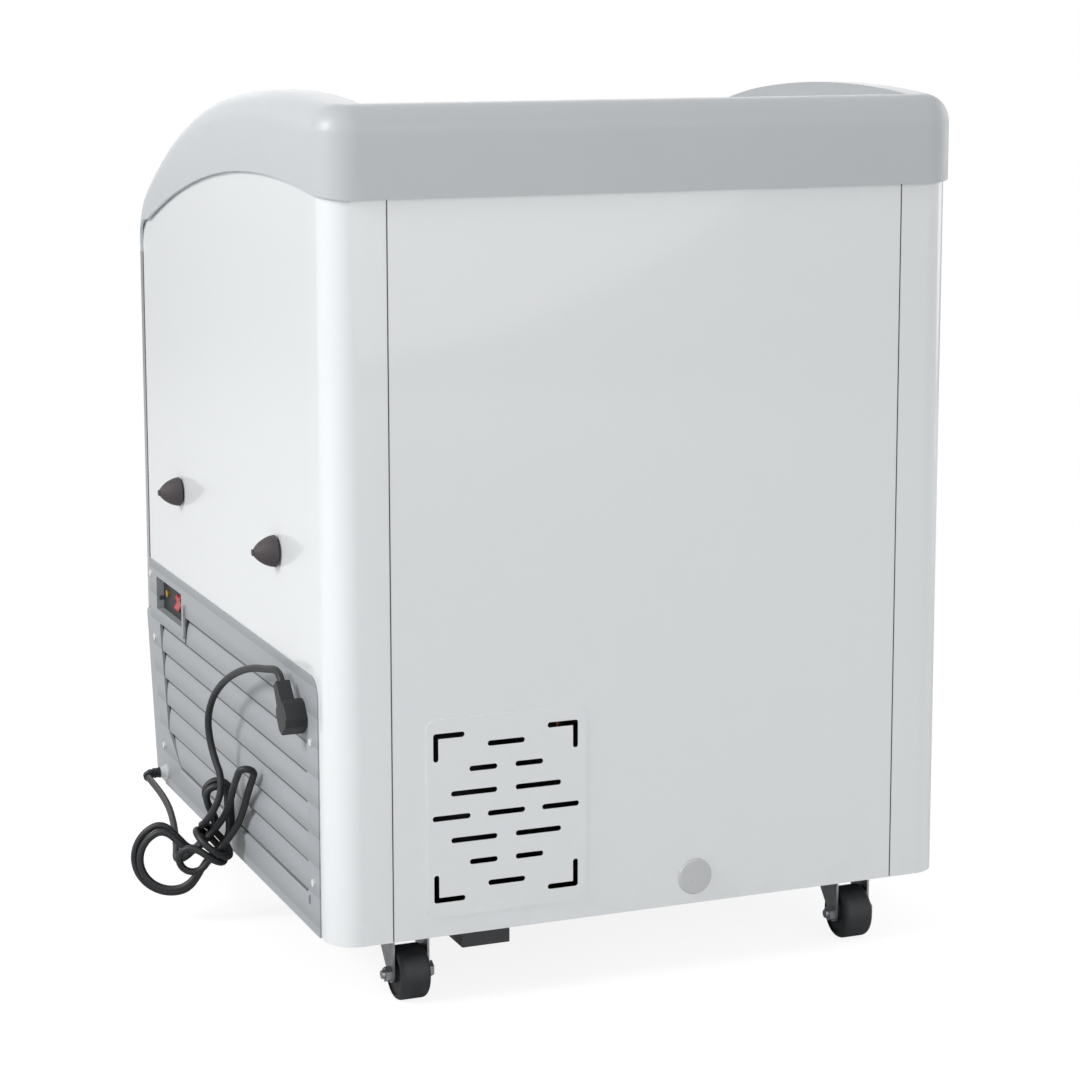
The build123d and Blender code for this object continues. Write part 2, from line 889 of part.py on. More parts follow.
def tank_form(grow):
    tank_column(grow, deep_span, (tank_floor - grow, step_floor + clear))
    tank_column(grow, full_span, (step_floor - grow, top_clear_z))


with BuildPart() as tank_outside:
    tank_form(liner_wall)
    skirt_cut(top_clear_z + clear)

with BuildPart() as tank_inside:
    tank_form(0.0)

with BuildPart() as rim_plate:
    tank_column(rim_width, full_span, (lean_top_z, top_clear_z))
    skirt_cut(top_clear_z + clear)
    skirt_cut(lean_top_z - clear, -liner_wall)

with BuildPart() as inner_liner:
    add(tank_outside.part)
    add(rim_plate.part)
    add(tank_inside.part, mode=Mode.SUBTRACT)
    for wall_y, way in ((tank_front, 1), (tank_rear, -1)):
        block(
            (tank_left + liner_corner_radius, tank_right - liner_corner_radius),
            (wall_y, wall_y + way * rail_reach),
            (rail_top_z - rail_height, rail_top_z),
        )
save(inner_liner, "inner_liner")

with BuildPart() as foam_insulation:
    body_column(sheet, (base_z + pan_wall, top_clear_z))
    seam_flanges(Mode.SUBTRACT)
    block(
        (bay_x - pan_wall, right_x + clear),
        (front_y - clear, rear_y + clear),
        (base_z - clear, bay_top_z + pan_wall),
        Mode.SUBTRACT,
    )
    skirt_cut(top_clear_z + clear)
    fit_behind_grille(sheet)
    add(tank_outside.part, mode=Mode.SUBTRACT)
    add(rim_plate.part, mode=Mode.SUBTRACT)
    tank_column(
        liner_wall + coil_space,
        full_span,
        (coil_low_z - 2 * coil_radius, coil_low_z + coil_pitch * coil_turns + 2 * coil_radius),
        Mode.SUBTRACT,
    )
    with BuildSketch(rear_plane) as port_hole:
        with Locations(port_center):
            Circle(port_radius)
    extrude(port_hole.sketch, amount=2 * port_cap_rise + fit_gap, mode=Mode.SUBTRACT)
    block(
        (left_x, right_x),
        (front_y, front_y + front_return),
        (front_top_z - sheet, front_top_z + clear),
        Mode.SUBTRACT,
    )
save(foam_insulation, "foam_insulation")

with BuildPart() as evaporator_coil:
    reach = liner_wall + coil_radius + glass_play
    rows = []
    for turn in range(coil_turns):
        level = coil_low_z + turn * coil_pitch
        rows += [
            (tank_left - reach, tank_front - reach, level),
            (tank_right + reach, tank_front - reach, level),
            (tank_right + reach, tank_rear + reach, level),
            (tank_left - reach, tank_rear + reach, level + coil_pitch),
        ]
    rows = [(tank_left - reach, (tank_front + tank_rear) / 2, coil_low_z)] + rows
    rows.append((tank_left - reach, (tank_front + tank_rear) / 2, coil_low_z + coil_turns * coil_pitch))
    with BuildLine() as winding:
        FilletPolyline(*rows, radius=liner_corner_radius + reach)
    with BuildSketch(Plane(origin=winding.line @ 0, z_dir=winding.line % 0)):
        Circle(coil_radius)
    sweep()
save(evaporator_coil, "evaporator_coil")

# Side grille over the compressor compartment, with curved louvres and a pocket for the controls
louvre_end_z = louvre_top_z - louvre_count * louvre_pitch
louvre_sweep = (louvre_pitch**2 + louvre_set_back**2) / (2 * louvre_set_back)


def louvre_window(front_gap, rear_gap):
    # The opening that the louvres fill, with room left in front and behind.
    second_z = louvre_top_z - louvre_pitch
    last_z = louvre_end_z + louvre_pitch
    return (
        (first_louvre_from_middle + front_gap, louvre_top_z),
        (first_louvre_from_middle + front_gap, second_z),
        (seam_from_mid(second_z, louvre_margin + front_gap), second_z),
        (seam_from_mid(last_z, louvre_margin + front_gap), last_z),
        (last_louvre_from_middle + front_gap, grille_ridge_z[1]),
        (louvre_rear_from_middle + rear_gap, grille_ridge_z[1]),
        (louvre_rear_from_middle + rear_gap, louvre_top_z),
    )


with BuildPart() as louvre_tips:
    with BuildSketch(face_plane.offset(-clear)):
        with BuildLine():
            Polyline(*louvre_window(louvre_end_gap, grille_proud), close=True)
        make_face()
    extrude(amount=2 * clear)

louvre_plane = Plane(
    origin=(right_x + grille_proud, mid_y + grille_window_rear, 0), x_dir=(1, 0, 0), z_dir=(0, -1, 0)
)
with BuildPart() as louvres:
    with BuildSketch(louvre_plane):
        for slat in range(louvre_count):
            low_z = louvre_top_z - (slat + 1) * louvre_pitch
            turn = asin(louvre_pitch / louvre_sweep)
            rim = [(-louvre_sweep, low_z, louvre_sweep - depth) for depth in (0.0, louvre_wall)]
            outer, inner = (
                [(x + reach * cos(share * turn), z + reach * sin(share * turn)) for share in (0, 0.5, 1)]
                for x, z, reach in rim
            )
            with BuildLine():
                ThreePointArc(*outer)
                ThreePointArc(*inner)
                Line(outer[0], inner[0])
                Line(outer[2], inner[2])
            make_face()
    extrude(amount=grille_window_rear - seam_from_mid(lean_top_z))
    add(louvre_tips.part, mode=Mode.INTERSECT)

# The plug's own plane: its flat back beside the grille's face, X along the plug
plug_way = Vector(0, cos(plug_tilt), -sin(plug_tilt))
plug_back = (right_x + grille_proud + fit_gap, mid_y + plug_entry[1], plug_entry[2])
plug_plane = Plane(origin=plug_back, x_dir=plug_way, z_dir=(1, 0, 0))


def plug_blades(grow, mode):
    # Two flat blades and a round earth pin, or the park holes for them when grown.
    with BuildSketch(plug_plane) as section:
        with Locations((blade_along, blade_spacing / 2), (blade_along, -blade_spacing / 2)):
            Rectangle(blade_size[0] + 2 * grow, blade_size[1] + 2 * grow)
        with Locations((earth_pin_along, 0)):
            Circle(earth_pin_radius + grow)
    extrude(section.sketch, amount=-blade_length - grow, mode=mode)


pocket_mid = ((pocket_front_from_middle + pocket_rear_from_middle) / 2, (pocket_low_z + pocket_high_z) / 2)
pocket_size = (pocket_rear_from_middle - pocket_front_from_middle, pocket_high_z - pocket_low_z)

with BuildPart() as side_grille:
    with BuildSketch(face_plane) as outline:
        with BuildLine():
            Polyline(
                (seam_from_mid(lean_top_z), grille_top_z),
                (seam_from_mid(lean_top_z), lean_top_z),
                (seam_from_mid(base_z), base_z),
                (grille_rear_from_middle, base_z),
                (grille_rear_from_middle, grille_top_z),
                close=True,
            )
        make_face()
        fillet(outline.vertices().group_by(Axis.Y)[-1].sort_by(Axis.X)[-1], grille_corner_radius)
    extrude(amount=-grille_proud)
    with BuildSketch(face_plane.offset(-grille_proud)):
        with BuildLine():
            Polyline(*grille_window(fit_gap), close=True)
        make_face()
    extrude(amount=grille_proud - grille_thick)
    with BuildSketch(face_plane.offset(-clear)) as cut_through:
        with BuildLine():
            Polyline(*louvre_window(0.0, 0.0), close=True)
        make_face()
        fillet(cut_through.vertices(), slot_width)
        with Locations(pocket_mid):
            Rectangle(*pocket_size)
        with Locations((gland_from_middle, gland_z)):
            Circle(gland_neck_radius + screw_gap)
        with Locations(*grille_screws_at):
            Circle(screw_radius + screw_gap)
    extrude(amount=2 * clear, mode=Mode.SUBTRACT)
    with BuildSketch(face_plane.offset(-pocket_depth)):
        with Locations(pocket_mid):
            Rectangle(pocket_size[0] + 2 * pocket_wall, pocket_size[1] + 2 * pocket_wall)
            Rectangle(*pocket_size, mode=Mode.SUBTRACT)
    extrude(amount=pocket_depth - grille_proud)
    add(louvres.part)
    rib_face = right_x + grille_proud
    for place in louvre_ribs:
        rib_y = (mid_y + place, mid_y + place + louvre_rib_wall)
        rib_back = rib_face - louvre_rib_depth
        rib_top_z = louvre_top_z + louvre_wall * 2
        rib_foot_z = grille_ridge_z[1] - louvre_wall * 2
        block((rib_back, rib_face - louvre_set_back - louvre_wall / 2), rib_y, (rib_foot_z, rib_top_z))
        block((rib_back, rib_face - louvre_wall), rib_y, (louvre_top_z + fit_gap, rib_top_z))
        block((rib_back, rib_face - louvre_wall), rib_y, (rib_foot_z, grille_ridge_z[1] - fit_gap))
    with BuildSketch(louvre_plane):
        with BuildLine():
            Polyline(
                (-fit_gap, grille_ridge_z[0]),
                (0, grille_ridge_z[0]),
                (grille_ridge_rise, grille_ridge_z[0] + grille_ridge_rise),
                (grille_ridge_rise, grille_ridge_z[1] - grille_ridge_rise),
                (0, grille_ridge_z[1]),
                (-fit_gap, grille_ridge_z[1]),
                close=True,
            )
        make_face()
    extrude(amount=grille_window_rear - last_louvre_from_middle)
    with BuildSketch(face_plane):
        with Locations((first_louvre_from_middle, finger_rib_low_z + finger_rib[0] / 2)):
            SlotOverall(finger_rib[0], finger_rib[1], rotation=90)
    extrude(amount=finger_rib[2])
    plug_blades(fit_gap, Mode.SUBTRACT)
save(side_grille, "side_grille")


def screw_solids(plane, places, head_radius, head_height, shank_radius, length):
    # Round-headed screws that stand on a plane.
    with BuildSketch(plane) as heads:
        with Locations(*places):
            Circle(head_radius)
    extrude(heads.sketch, amount=head_height)
    with BuildSketch(plane) as shanks:
        with Locations(*places):
            Circle(shank_radius)
    extrude(shanks.sketch, amount=-length)


with BuildPart() as grille_screws:
    screw_solids(
        face_plane, grille_screws_at, screw_head_radius, screw_head_height, screw_radius, screw_length
    )
save(grille_screws, "grille_screws")

# Controls in the pocket
control_plane = face_plane.offset(-pocket_depth)
rocker_axis_x = right_x + grille_proud - pocket_depth - rocker_pivot_behind
rocker_axis_y = mid_y + switch_from_middle

with BuildPart() as control_plate:
    with BuildSketch(control_plane):
        with Locations(pocket_mid):
            Rectangle(pocket_size[0] + 2 * plate_margin, pocket_size[1] + 2 * plate_margin)
        with Locations((switch_from_middle, switch_z)):
            Rectangle(switch_body_size + fit_gap, switch_body_size + fit_gap, mode=Mode.SUBTRACT)
        with Locations((earth_from_middle, earth_z)):
            Circle(earth_shank_radius + screw_gap, mode=Mode.SUBTRACT)
    extrude(amount=-control_thick)
save(control_plate, "control_plate")

with BuildPart() as earth_screw:
    screw_solids(
        control_plane,
        ((earth_from_middle, earth_z),),
        earth_head_radius,
        earth_head_height,
        earth_shank_radius,
        screw_length,
    )
save(earth_screw, "earth_screw")

rocker_plane = Plane(
    origin=(rocker_axis_x, rocker_axis_y + rocker_length / 2, switch_z), x_dir=(1, 0, 0), z_dir=(0, -1, 0)
)
with BuildPart() as switch_body:
    with BuildSketch(control_plane):
        with Locations((switch_from_middle, switch_z)):
            Rectangle(switch_size, switch_size)
    extrude(amount=switch_bezel)
    with BuildSketch(control_plane):
        with Locations((switch_from_middle, switch_z)):
            Rectangle(switch_body_size, switch_body_size)
    extrude(amount=-switch_body_depth)
    with BuildSketch(rocker_plane.offset(-rocker_play)):
        Circle(rocker_radius + rocker_play)
        with Locations((switch_bezel + rocker_pivot_behind, 0)):
            Rectangle(2 * switch_bezel + rocker_pivot_behind, 2 * (rocker_radius + rocker_play))
    extrude(amount=rocker_length + 2 * rocker_play, mode=Mode.SUBTRACT)
    with BuildSketch(rocker_plane.offset(-rocker_pin_length - rocker_play)):
        Circle(rocker_pin_radius + running_gap)
    extrude(amount=rocker_length + 2 * (rocker_pin_length + rocker_play), mode=Mode.SUBTRACT)
save(switch_body, "switch_body")

with BuildPart() as rocker_upright:
    with BuildSketch(rocker_plane):
        Circle(rocker_radius)
        with BuildLine():
            Polyline(
                (rocker_valley, 0),
                rocker_lobe,
                (2 * rocker_radius, rocker_lobe[1]),
                (2 * rocker_radius, -rocker_lobe[1]),
                (rocker_lobe[0], -rocker_lobe[1]),
                close=True,
            )
        make_face(mode=Mode.SUBTRACT)
    extrude(amount=rocker_length)
    with BuildSketch(rocker_plane.offset(-rocker_pin_length)):
        Circle(rocker_pin_radius)
    extrude(amount=rocker_length + 2 * rocker_pin_length)

with BuildPart() as rocker:
    rocker_axis = Axis((rocker_axis_x, rocker_axis_y, switch_z), (0, 1, 0))
    add(rocker_upright.part.rotate(rocker_axis, -rocker_tilt))
save(rocker, "rocker")

# Cord gland
gland_plane = Plane(origin=(right_x + grille_proud, mid_y + gland_from_middle, gland_z), z_dir=(1, 0, 0))
nut_face = grille_proud + sheet

with BuildPart() as cord_gland:
    with BuildSketch(gland_plane.offset(-nut_face - gland_nut_height)):
        Circle(gland_neck_radius)
    extrude(amount=nut_face + gland_nut_height)
    with BuildSketch(gland_plane):
        Circle(gland_radius)
    extrude(amount=gland_flange)
    with BuildSketch(gland_plane.offset(gland_flange)):
        Circle(gland_neck_radius)
    with BuildSketch(gland_plane.offset(gland_reach)):
        Circle(gland_nose_radius)
    loft()
    with BuildSketch(gland_plane.offset(-nut_face - gland_nut_height)):
        RegularPolygon(gland_nut_radius, 6)
    extrude(amount=gland_nut_height)
save(cord_gland, "cord_gland")

# Wall spacers: domes with a nib that keep the right end off a wall
with BuildPart() as wall_spacers:
    for side in (-1, 1):
        spot = (right_x, mid_y + side * spacer_from_middle, spacer_z)
        with BuildSketch(Plane(origin=spot, x_dir=(1, 0, 0), z_dir=(0, -1, 0))) as half:
            with BuildLine():
                Polyline((0, 0), (0, spacer_stud[1]), spacer_stud, spacer_profile[0])
                Spline(*spacer_profile)
                Polyline(spacer_profile[-1], (spacer_reach, spacer_nib_radius), (spacer_reach, 0), (0, 0))
            make_face()
        revolve(half.sketch, Axis(spot, (1, 0, 0)))
save(wall_spacers, "wall_spacers")


# Tracks and lids. A bead is the rear (1) or the front (-1) one; distances run from its wall.
def tilt_span(bead, near, far):
    if bead > 0:
        return bead_rear_tilt + near / rear_reach, bead_rear_tilt + far / rear_reach
    return bead_front_tilt - far / front_reach, bead_front_tilt - near / front_reach


def bead_bar(bead, s_span, inset_span, x_span, mode=Mode.ADD):
    # A bar along X whose section follows the ridge.
    with BuildSketch(Plane.YZ.offset(x_span[0])) as section:
        ridge_strip(*tilt_span(bead, *s_span), *inset_span)
    extrude(section.sketch, amount=x_span[1] - x_span[0], mode=mode)


def lid_sheet(end_gap, inset_span, x_span, mode=Mode.ADD):
    # A curved sheet from the rear bead to the front one.
    tilts = (tilt_span(1, end_gap, end_gap)[0], tilt_span(-1, end_gap, end_gap)[0])
    with BuildSketch(Plane.YZ.offset(x_span[0])) as section:
        ridge_strip(*tilts, *inset_span)
    extrude(section.sketch, amount=x_span[1] - x_span[0], mode=mode)


track_span = (hump_left_x + fit_gap, hump_right_x - fit_gap)
upper_floor = upper_inset + glass_thick + runner_below_glass + runner_gap


def track(bead, label):
    outer_s = (track_fins[0][0], track_fins[-1][1])
    with BuildPart() as rail:
        bead_bar(bead, outer_s, (track_floor, recess_depth), track_span)
        bead_bar(bead, (outer_s[0], track_step), (upper_floor, track_floor), track_span)
        for near, far, top in track_fins:
            bead_bar(bead, (near, far), (top, track_floor), track_span)
    save(rail, label)


track(1, "rear_track")
track(-1, "front_track")

lid_length = (hump_right_x - hump_left_x + lid_overlap) / 2 - lid_end_gap
upper_span = (hump_right_x - lid_end_gap - lid_length, hump_right_x - lid_end_gap)
lower_span = (hump_left_x + lid_end_gap, hump_left_x + lid_end_gap + lid_length)


def lid(name, inset, span, runner_s, glass_end, trim_start, grip_x, grip_height):
    # One sliding lid: a curved glass, a runner at its front and rear, and a trim at each end.
    glass_span = (span[0] + trim_wall, span[1] - trim_wall)
    glass_insets = (inset, inset + glass_thick)
    slot_insets = (inset - glass_play, inset + glass_thick + glass_play)
    with BuildPart() as glass:
        lid_sheet(glass_end, glass_insets, glass_span)
    save(glass, name + "_lid_glass")
    runner_insets = (inset - runner_above_glass, inset + glass_thick + runner_below_glass)
    with BuildPart() as runners:
        for bead in (-1, 1):
            bead_bar(bead, runner_s, runner_insets, span)
            bead_bar(bead, (glass_end - glass_play, runner_s[1]), slot_insets, span, Mode.SUBTRACT)
    save(runners, name + "_lid_runners")
    with BuildPart() as trims:
        for end_x, way in ((span[0], 1), (span[1], -1)):
            x_span = sorted((end_x, end_x + way * trim_width))
            trim_insets = (inset - trim_wall, inset + glass_thick + trim_wall)
            lid_sheet(trim_start, trim_insets, x_span)
        grip_span = sorted((grip_x, grip_x + grip_width))
        with BuildSketch(Plane.YZ.offset(grip_span[0])) as section:
            ridge_strip(*grip_tilts, inset - trim_wall - grip_height, inset - trim_wall)
        extrude(section.sketch, amount=grip_width)
        lid_sheet(glass_end - glass_play, slot_insets, glass_span, Mode.SUBTRACT)
    save(trims, name + "_lid_trims")


lid(
    "upper",
    upper_inset,
    upper_span,
    upper_runner,
    upper_glass_end,
    upper_runner[1] + fit_gap,
    upper_span[1] - trim_width / 2,
    upper_grip_height,
)
lid(
    "lower",
    lower_inset,
    lower_span,
    lower_runner,
    lower_glass_end,
    lower_trim_start,
    lower_span[0] + (trim_width - grip_width) / 2,
    lower_grip_height,
)

# Wire basket that hangs on the liner's rails: a floor panel and four side panels, clipped together
basket_x = (tank_right - basket_end_gap - basket_length, tank_right - basket_end_gap)
basket_rim_z = rail_top_z + basket_rim_radius + glass_play
basket_rim_y = (
    tank_front + rail_reach / 2 + glass_play,
    tank_rear - rail_reach / 2 - glass_play,
)
basket_y = (tank_front + basket_wall_gap, tank_rear - basket_wall_gap)


def wire(points, radius, bend):
    # A bent wire of round section through the points.
    with BuildLine() as route:
        FilletPolyline(*points, radius=bend)
    with BuildSketch(Plane(origin=route.line @ 0, z_dir=route.line % 0)) as section:
        Circle(radius)
    sweep(section.sketch, path=route.line)


with BuildPart() as basket:
    middle_x = sum(basket_x) / 2
    rim_mid = (middle_x, sum(basket_rim_y) / 2)
    rim_size = (basket_length, basket_rim_y[1] - basket_rim_y[0])
    with BuildSketch(Plane.XY.offset(basket_rim_z - basket_rim_radius)):
        with Locations(rim_mid):
            for grow, mode in ((basket_rim_radius, Mode.ADD), (-basket_rim_radius, Mode.SUBTRACT)):
                RectangleRounded(
                    rim_size[0] + 2 * grow, rim_size[1] + 2 * grow, basket_corner + grow, mode=mode
                )
    extrude(amount=2 * basket_rim_radius)
    fillet(basket.edges().filter_by(Plane.XY), basket_rim_radius - fit_gap)
    cross_count = int(basket_length // basket_pitch)
    for step in range(cross_count):
        x = middle_x + (step - (cross_count - 1) / 2) * basket_pitch
        wire(
            [
                (x, basket_rim_y[0], basket_rim_z + basket_wire_radius),
                (x, basket_y[0], basket_rim_z + basket_wire_radius),
                (x, basket_y[0] + basket_wire_bend, basket_low_z),
                (x, basket_y[1] - basket_wire_bend, basket_low_z),
                (x, basket_y[1], basket_rim_z + basket_wire_radius),
                (x, basket_rim_y[1], basket_rim_z + basket_wire_radius),
            ],
            basket_wire_radius,
            basket_wire_bend,
        )
    long_count = int((basket_y[1] - basket_y[0]) // (2 * basket_pitch))
    for step in range(long_count):
        y = sum(basket_y) / 2 + (step - (long_count - 1) / 2) * 2 * basket_pitch
        wire(
            [
                (basket_x[0], y, basket_rim_z),
                (basket_x[0] + basket_wire_bend, y, basket_low_z + 2 * basket_wire_radius - glass_play),
                (basket_x[1] - basket_wire_bend, y, basket_low_z + 2 * basket_wire_radius - glass_play),
                (basket_x[1], y, basket_rim_z),
            ],
            basket_wire_radius,
            basket_wire_bend,
        )
    panel_z = basket_low_z + basket_floor_rise
    block(basket_x, basket_y, (panel_z, panel_z + basket_clip_gap), Mode.SUBTRACT)
    for corner_x, way in ((basket_x[0], 1), (basket_x[1], -1)):
        clip_x = corner_x + way * (basket_corner + basket_clip_gap)
        for rim_y in basket_rim_y:
            block(
                (clip_x, clip_x + way * basket_clip_gap),
                (rim_y - basket_corner, rim_y + basket_corner),
                (basket_rim_z - basket_corner, basket_rim_z + basket_corner),
                Mode.SUBTRACT,
            )
save(basket, "basket")

# Compressor compartment
tray_top_z = base_z + tray_wall
can_x = mid_x + can_center[0]
can_y = mid_y + can_center[1]
plate_foot_z = tray_top_z + foot_height

with BuildPart() as compressor:
    with BuildSketch(Plane.XY.offset(can_span[0])):
        with Locations((can_x, can_y)):
            Circle(can_radius)
    extrude(amount=can_span[1] - can_span[0])
    fillet(compressor.edges().filter_by(GeomType.CIRCLE), can_round)
    block(
        (can_x - foot_plate[0] / 2, can_x + foot_plate[0] / 2),
        (can_y - foot_plate[1] / 2, can_y + foot_plate[1] / 2),
        (plate_foot_z, plate_foot_z + foot_plate[2]),
    )
    with BuildSketch(Plane.XY.offset(plate_foot_z)):
        with Locations((can_x, can_y)):
            Circle(can_radius / 2)
    extrude(amount=can_round)
save(compressor, "compressor")

with BuildPart() as compressor_feet:
    with BuildSketch(Plane.XY.offset(tray_top_z)):
        with Locations((can_x, can_y)):
            with GridLocations(*foot_pitch, 2, 2):
                Circle(foot_radius)
    extrude(amount=foot_height)
save(compressor_feet, "compressor_feet")

with BuildPart() as terminal_cover:
    block(
        (can_x - cover_size[0] / 2, can_x + cover_size[0] / 2),
        (can_y - can_radius - cover_size[1] / 2, can_y - can_radius + cover_size[1] / 2),
        (cover_z - cover_size[2] / 2, cover_z + cover_size[2] / 2),
    )
    with BuildSketch(Plane.XY.offset(cover_z - cover_size[2])) as can_outline:
        with Locations((can_x, can_y)):
            Circle(can_radius + glass_play)
    extrude(can_outline.sketch, amount=2 * cover_size[2], mode=Mode.SUBTRACT)
save(terminal_cover, "terminal_cover")

condenser_mid = [
    mid_x + sum(condenser_x) / 2,
    mid_y + sum(condenser_y) / 2,
    sum(condenser_z) / 2,
]
condenser_size = [high - low for low, high in (condenser_x, condenser_y, condenser_z)]

with BuildPart() as condenser:
    fin_pitch = (condenser_size[0] - condenser_fin_wall) / (condenser_fins - 1)
    row_pitch = condenser_size[2] / condenser_tube_rows
    column_pitch = condenser_size[1] / condenser_tube_columns
    fin_plane = Plane(origin=tuple(condenser_mid), x_dir=(0, 1, 0), z_dir=(1, 0, 0))
    for step in range(condenser_fins):
        with BuildSketch(fin_plane.offset(step * fin_pitch - condenser_size[0] / 2)):
            Rectangle(condenser_size[1], condenser_size[2])
        extrude(amount=condenser_fin_wall)
    with BuildSketch(fin_plane.offset(-condenser_size[0] / 2)):
        with GridLocations(column_pitch, row_pitch, condenser_tube_columns, condenser_tube_rows):
            Circle(condenser_tube_radius)
    extrude(amount=condenser_size[0])
save(condenser, "condenser")

fan_x = mid_x + fan_center_x
fan_center_z = condenser_mid[2]
shroud_y = mid_y + condenser_y[1]
fan_plane = Plane(origin=(fan_x, shroud_y, fan_center_z), x_dir=(1, 0, 0), z_dir=(0, 1, 0))

with BuildPart() as fan_shroud:
    with BuildSketch(fan_plane):
        Rectangle(condenser_size[0], condenser_size[2])
        Circle(fan_bore, mode=Mode.SUBTRACT)
    extrude(amount=shroud_wall)
    with BuildSketch(fan_plane):
        Circle(fan_bore + shroud_wall)
        Circle(fan_bore, mode=Mode.SUBTRACT)
    extrude(amount=shroud_depth)
    with BuildSketch(fan_plane.offset(shroud_depth)):
        Circle(fan_bore + shroud_wall)
        Circle(fan_bore, mode=Mode.SUBTRACT)
        Circle(motor_radius + 2 * shroud_wall)
        Circle(motor_radius, mode=Mode.SUBTRACT)
        with PolarLocations((fan_bore + motor_radius) / 2 + shroud_wall, 3):
            Rectangle(fan_bore - motor_radius - shroud_wall, 4 * shroud_wall)
    extrude(amount=2 * shroud_wall)
save(fan_shroud, "fan_shroud")

with BuildPart() as fan_motor:
    with BuildSketch(fan_plane.offset(shroud_depth)):
        Circle(motor_radius)
    extrude(amount=motor_length)
    fillet(fan_motor.edges().filter_by(GeomType.CIRCLE).sort_by(Axis.Y)[-1], shroud_wall)
    with BuildSketch(fan_plane.offset(shroud_depth)):
        Circle(fan_shaft_radius)
    extrude(amount=-shroud_depth / 2 - fan_hub_length / 2)
save(fan_motor, "fan_motor")

with BuildPart() as fan_blades:
    hub_start = shroud_depth / 2 - fan_hub_length / 2
    with BuildSketch(fan_plane.offset(hub_start)):
        Circle(fan_hub_radius)
    extrude(amount=fan_hub_length)
    root_reach = fan_hub_radius - fan_blade_sunk
    flat = cos(fan_blade_pitch)
    for blade in range(fan_blade_count):
        turn = blade * 2 * pi / fan_blade_count
        root = Plane(
            origin=(
                fan_x + root_reach * cos(turn),
                shroud_y + shroud_depth / 2,
                fan_center_z + root_reach * sin(turn),
            ),
            x_dir=(-sin(turn) * flat, sin(fan_blade_pitch), cos(turn) * flat),
            z_dir=(cos(turn), 0, sin(turn)),
        )
        for reach, width in zip((0, fan_blade_reach - fan_hub_radius), fan_blade_widths):
            with BuildSketch(root.offset(reach)):
                SlotOverall(width, fan_blade_wall)
        loft()
    with BuildSketch(fan_plane):
        Circle(fan_shaft_radius + running_gap)
    extrude(amount=shroud_depth, mode=Mode.SUBTRACT)
save(fan_blades, "fan_blades")

drier_mid = (mid_x + drier_x, mid_y + drier_y[0], drier_z)
with BuildPart() as filter_drier:
    with BuildSketch(Plane(origin=drier_mid, z_dir=(0, 1, 0))):
        Circle(drier_radius)
    extrude(amount=drier_y[1] - drier_y[0])
    fillet(filter_drier.edges().filter_by(GeomType.CIRCLE), drier_radius / 2)
save(filter_drier, "filter_drier")

condenser_row_y = sum(condenser_y) / 2 - column_pitch / 2
bottom_row_z = condenser_z[0] + row_pitch / 2
top_row_z = condenser_z[1] - row_pitch / 2
pipe_routes = (
    (
        (can_center[0] - pipe_from_can, can_center[1], can_span[1]),
        (can_center[0] - pipe_from_can, can_center[1], pipe_top_z),
        (drier_x + pipe_beside_drier, can_center[1] - pipe_past_drier, pipe_top_z),
        (drier_x, condenser_row_y + column_pitch, pipe_top_z),
        (drier_x, condenser_row_y + column_pitch, top_row_z),
        (condenser_x[0], condenser_row_y + column_pitch, top_row_z),
    ),
    (
        (condenser_x[0], condenser_row_y, bottom_row_z),
        (drier_x, condenser_row_y, bottom_row_z),
        (drier_x, condenser_row_y, drier_z),
        (drier_x, drier_y[0], drier_z),
    ),
    (
        (drier_x, drier_y[1], drier_z),
        (drier_x, drier_y[1] + pipe_past_drier, drier_z),
        (drier_x, drier_y[1] + pipe_past_drier, bay_top_z),
    ),
    (
        (drier_x, can_center[1] + return_behind_can, bay_top_z),
        (drier_x, can_center[1] + return_behind_can, can_span[0] + can_radius),
        (drier_x + return_step, can_center[1], can_span[0] + can_radius),
        (can_center[0] - can_radius, can_center[1], can_span[0] + can_radius),
    ),
)
with BuildPart() as refrigerant_pipes:
    for route in pipe_routes:
        wire([from_middle(point) for point in route], pipe_radius, pipe_bend)
save(refrigerant_pipes, "refrigerant_pipes")

# Thermostat and lamps in the leaning front
knob_plane = lean_plane.offset(knob_gap)
knob_spot = (knob_from_middle, 0)
with BuildPart() as thermostat_body:
    with BuildSketch(lean_plane.offset(-plinth_wall)):
        with Locations(knob_spot):
            Rectangle(thermostat_size[0], thermostat_size[1])
    extrude(amount=-thermostat_size[2])
    with BuildSketch(lean_plane.offset(-plinth_wall)):
        with Locations(knob_spot):
            Circle(shaft_radius)
    extrude(amount=plinth_wall + knob_gap + knob_height / 2)
save(thermostat_body, "thermostat_body")

with BuildPart() as thermostat_knob:
    with BuildSketch(knob_plane):
        with Locations(knob_spot):
            Circle(knob_radius)
    extrude(amount=knob_height)
    fillet(thermostat_knob.faces().sort_by(Axis.Y)[0].edges(), pocket_wall)
    with BuildSketch(knob_plane):
        with Locations(knob_spot):
            Circle(shaft_radius + running_gap)
    extrude(amount=knob_height / 2 + knob_gap, mode=Mode.SUBTRACT)
    with BuildSketch(knob_plane.offset(knob_height - lamp_rise / 2)):
        with Locations((knob_from_middle, knob_radius / 2)):
            Rectangle(lamp_rise, knob_radius)
    extrude(amount=lamp_rise, mode=Mode.SUBTRACT)
save(thermostat_knob, "thermostat_knob")

with BuildPart() as indicator_lamps:
    for place in lamp_places:
        with BuildSketch(lean_plane.offset(-2 * plinth_wall)):
            with Locations((place, 0)):
                Circle(lamp_radius - glass_play)
        extrude(amount=2 * plinth_wall + lamp_rise)
save(indicator_lamps, "indicator_lamps")


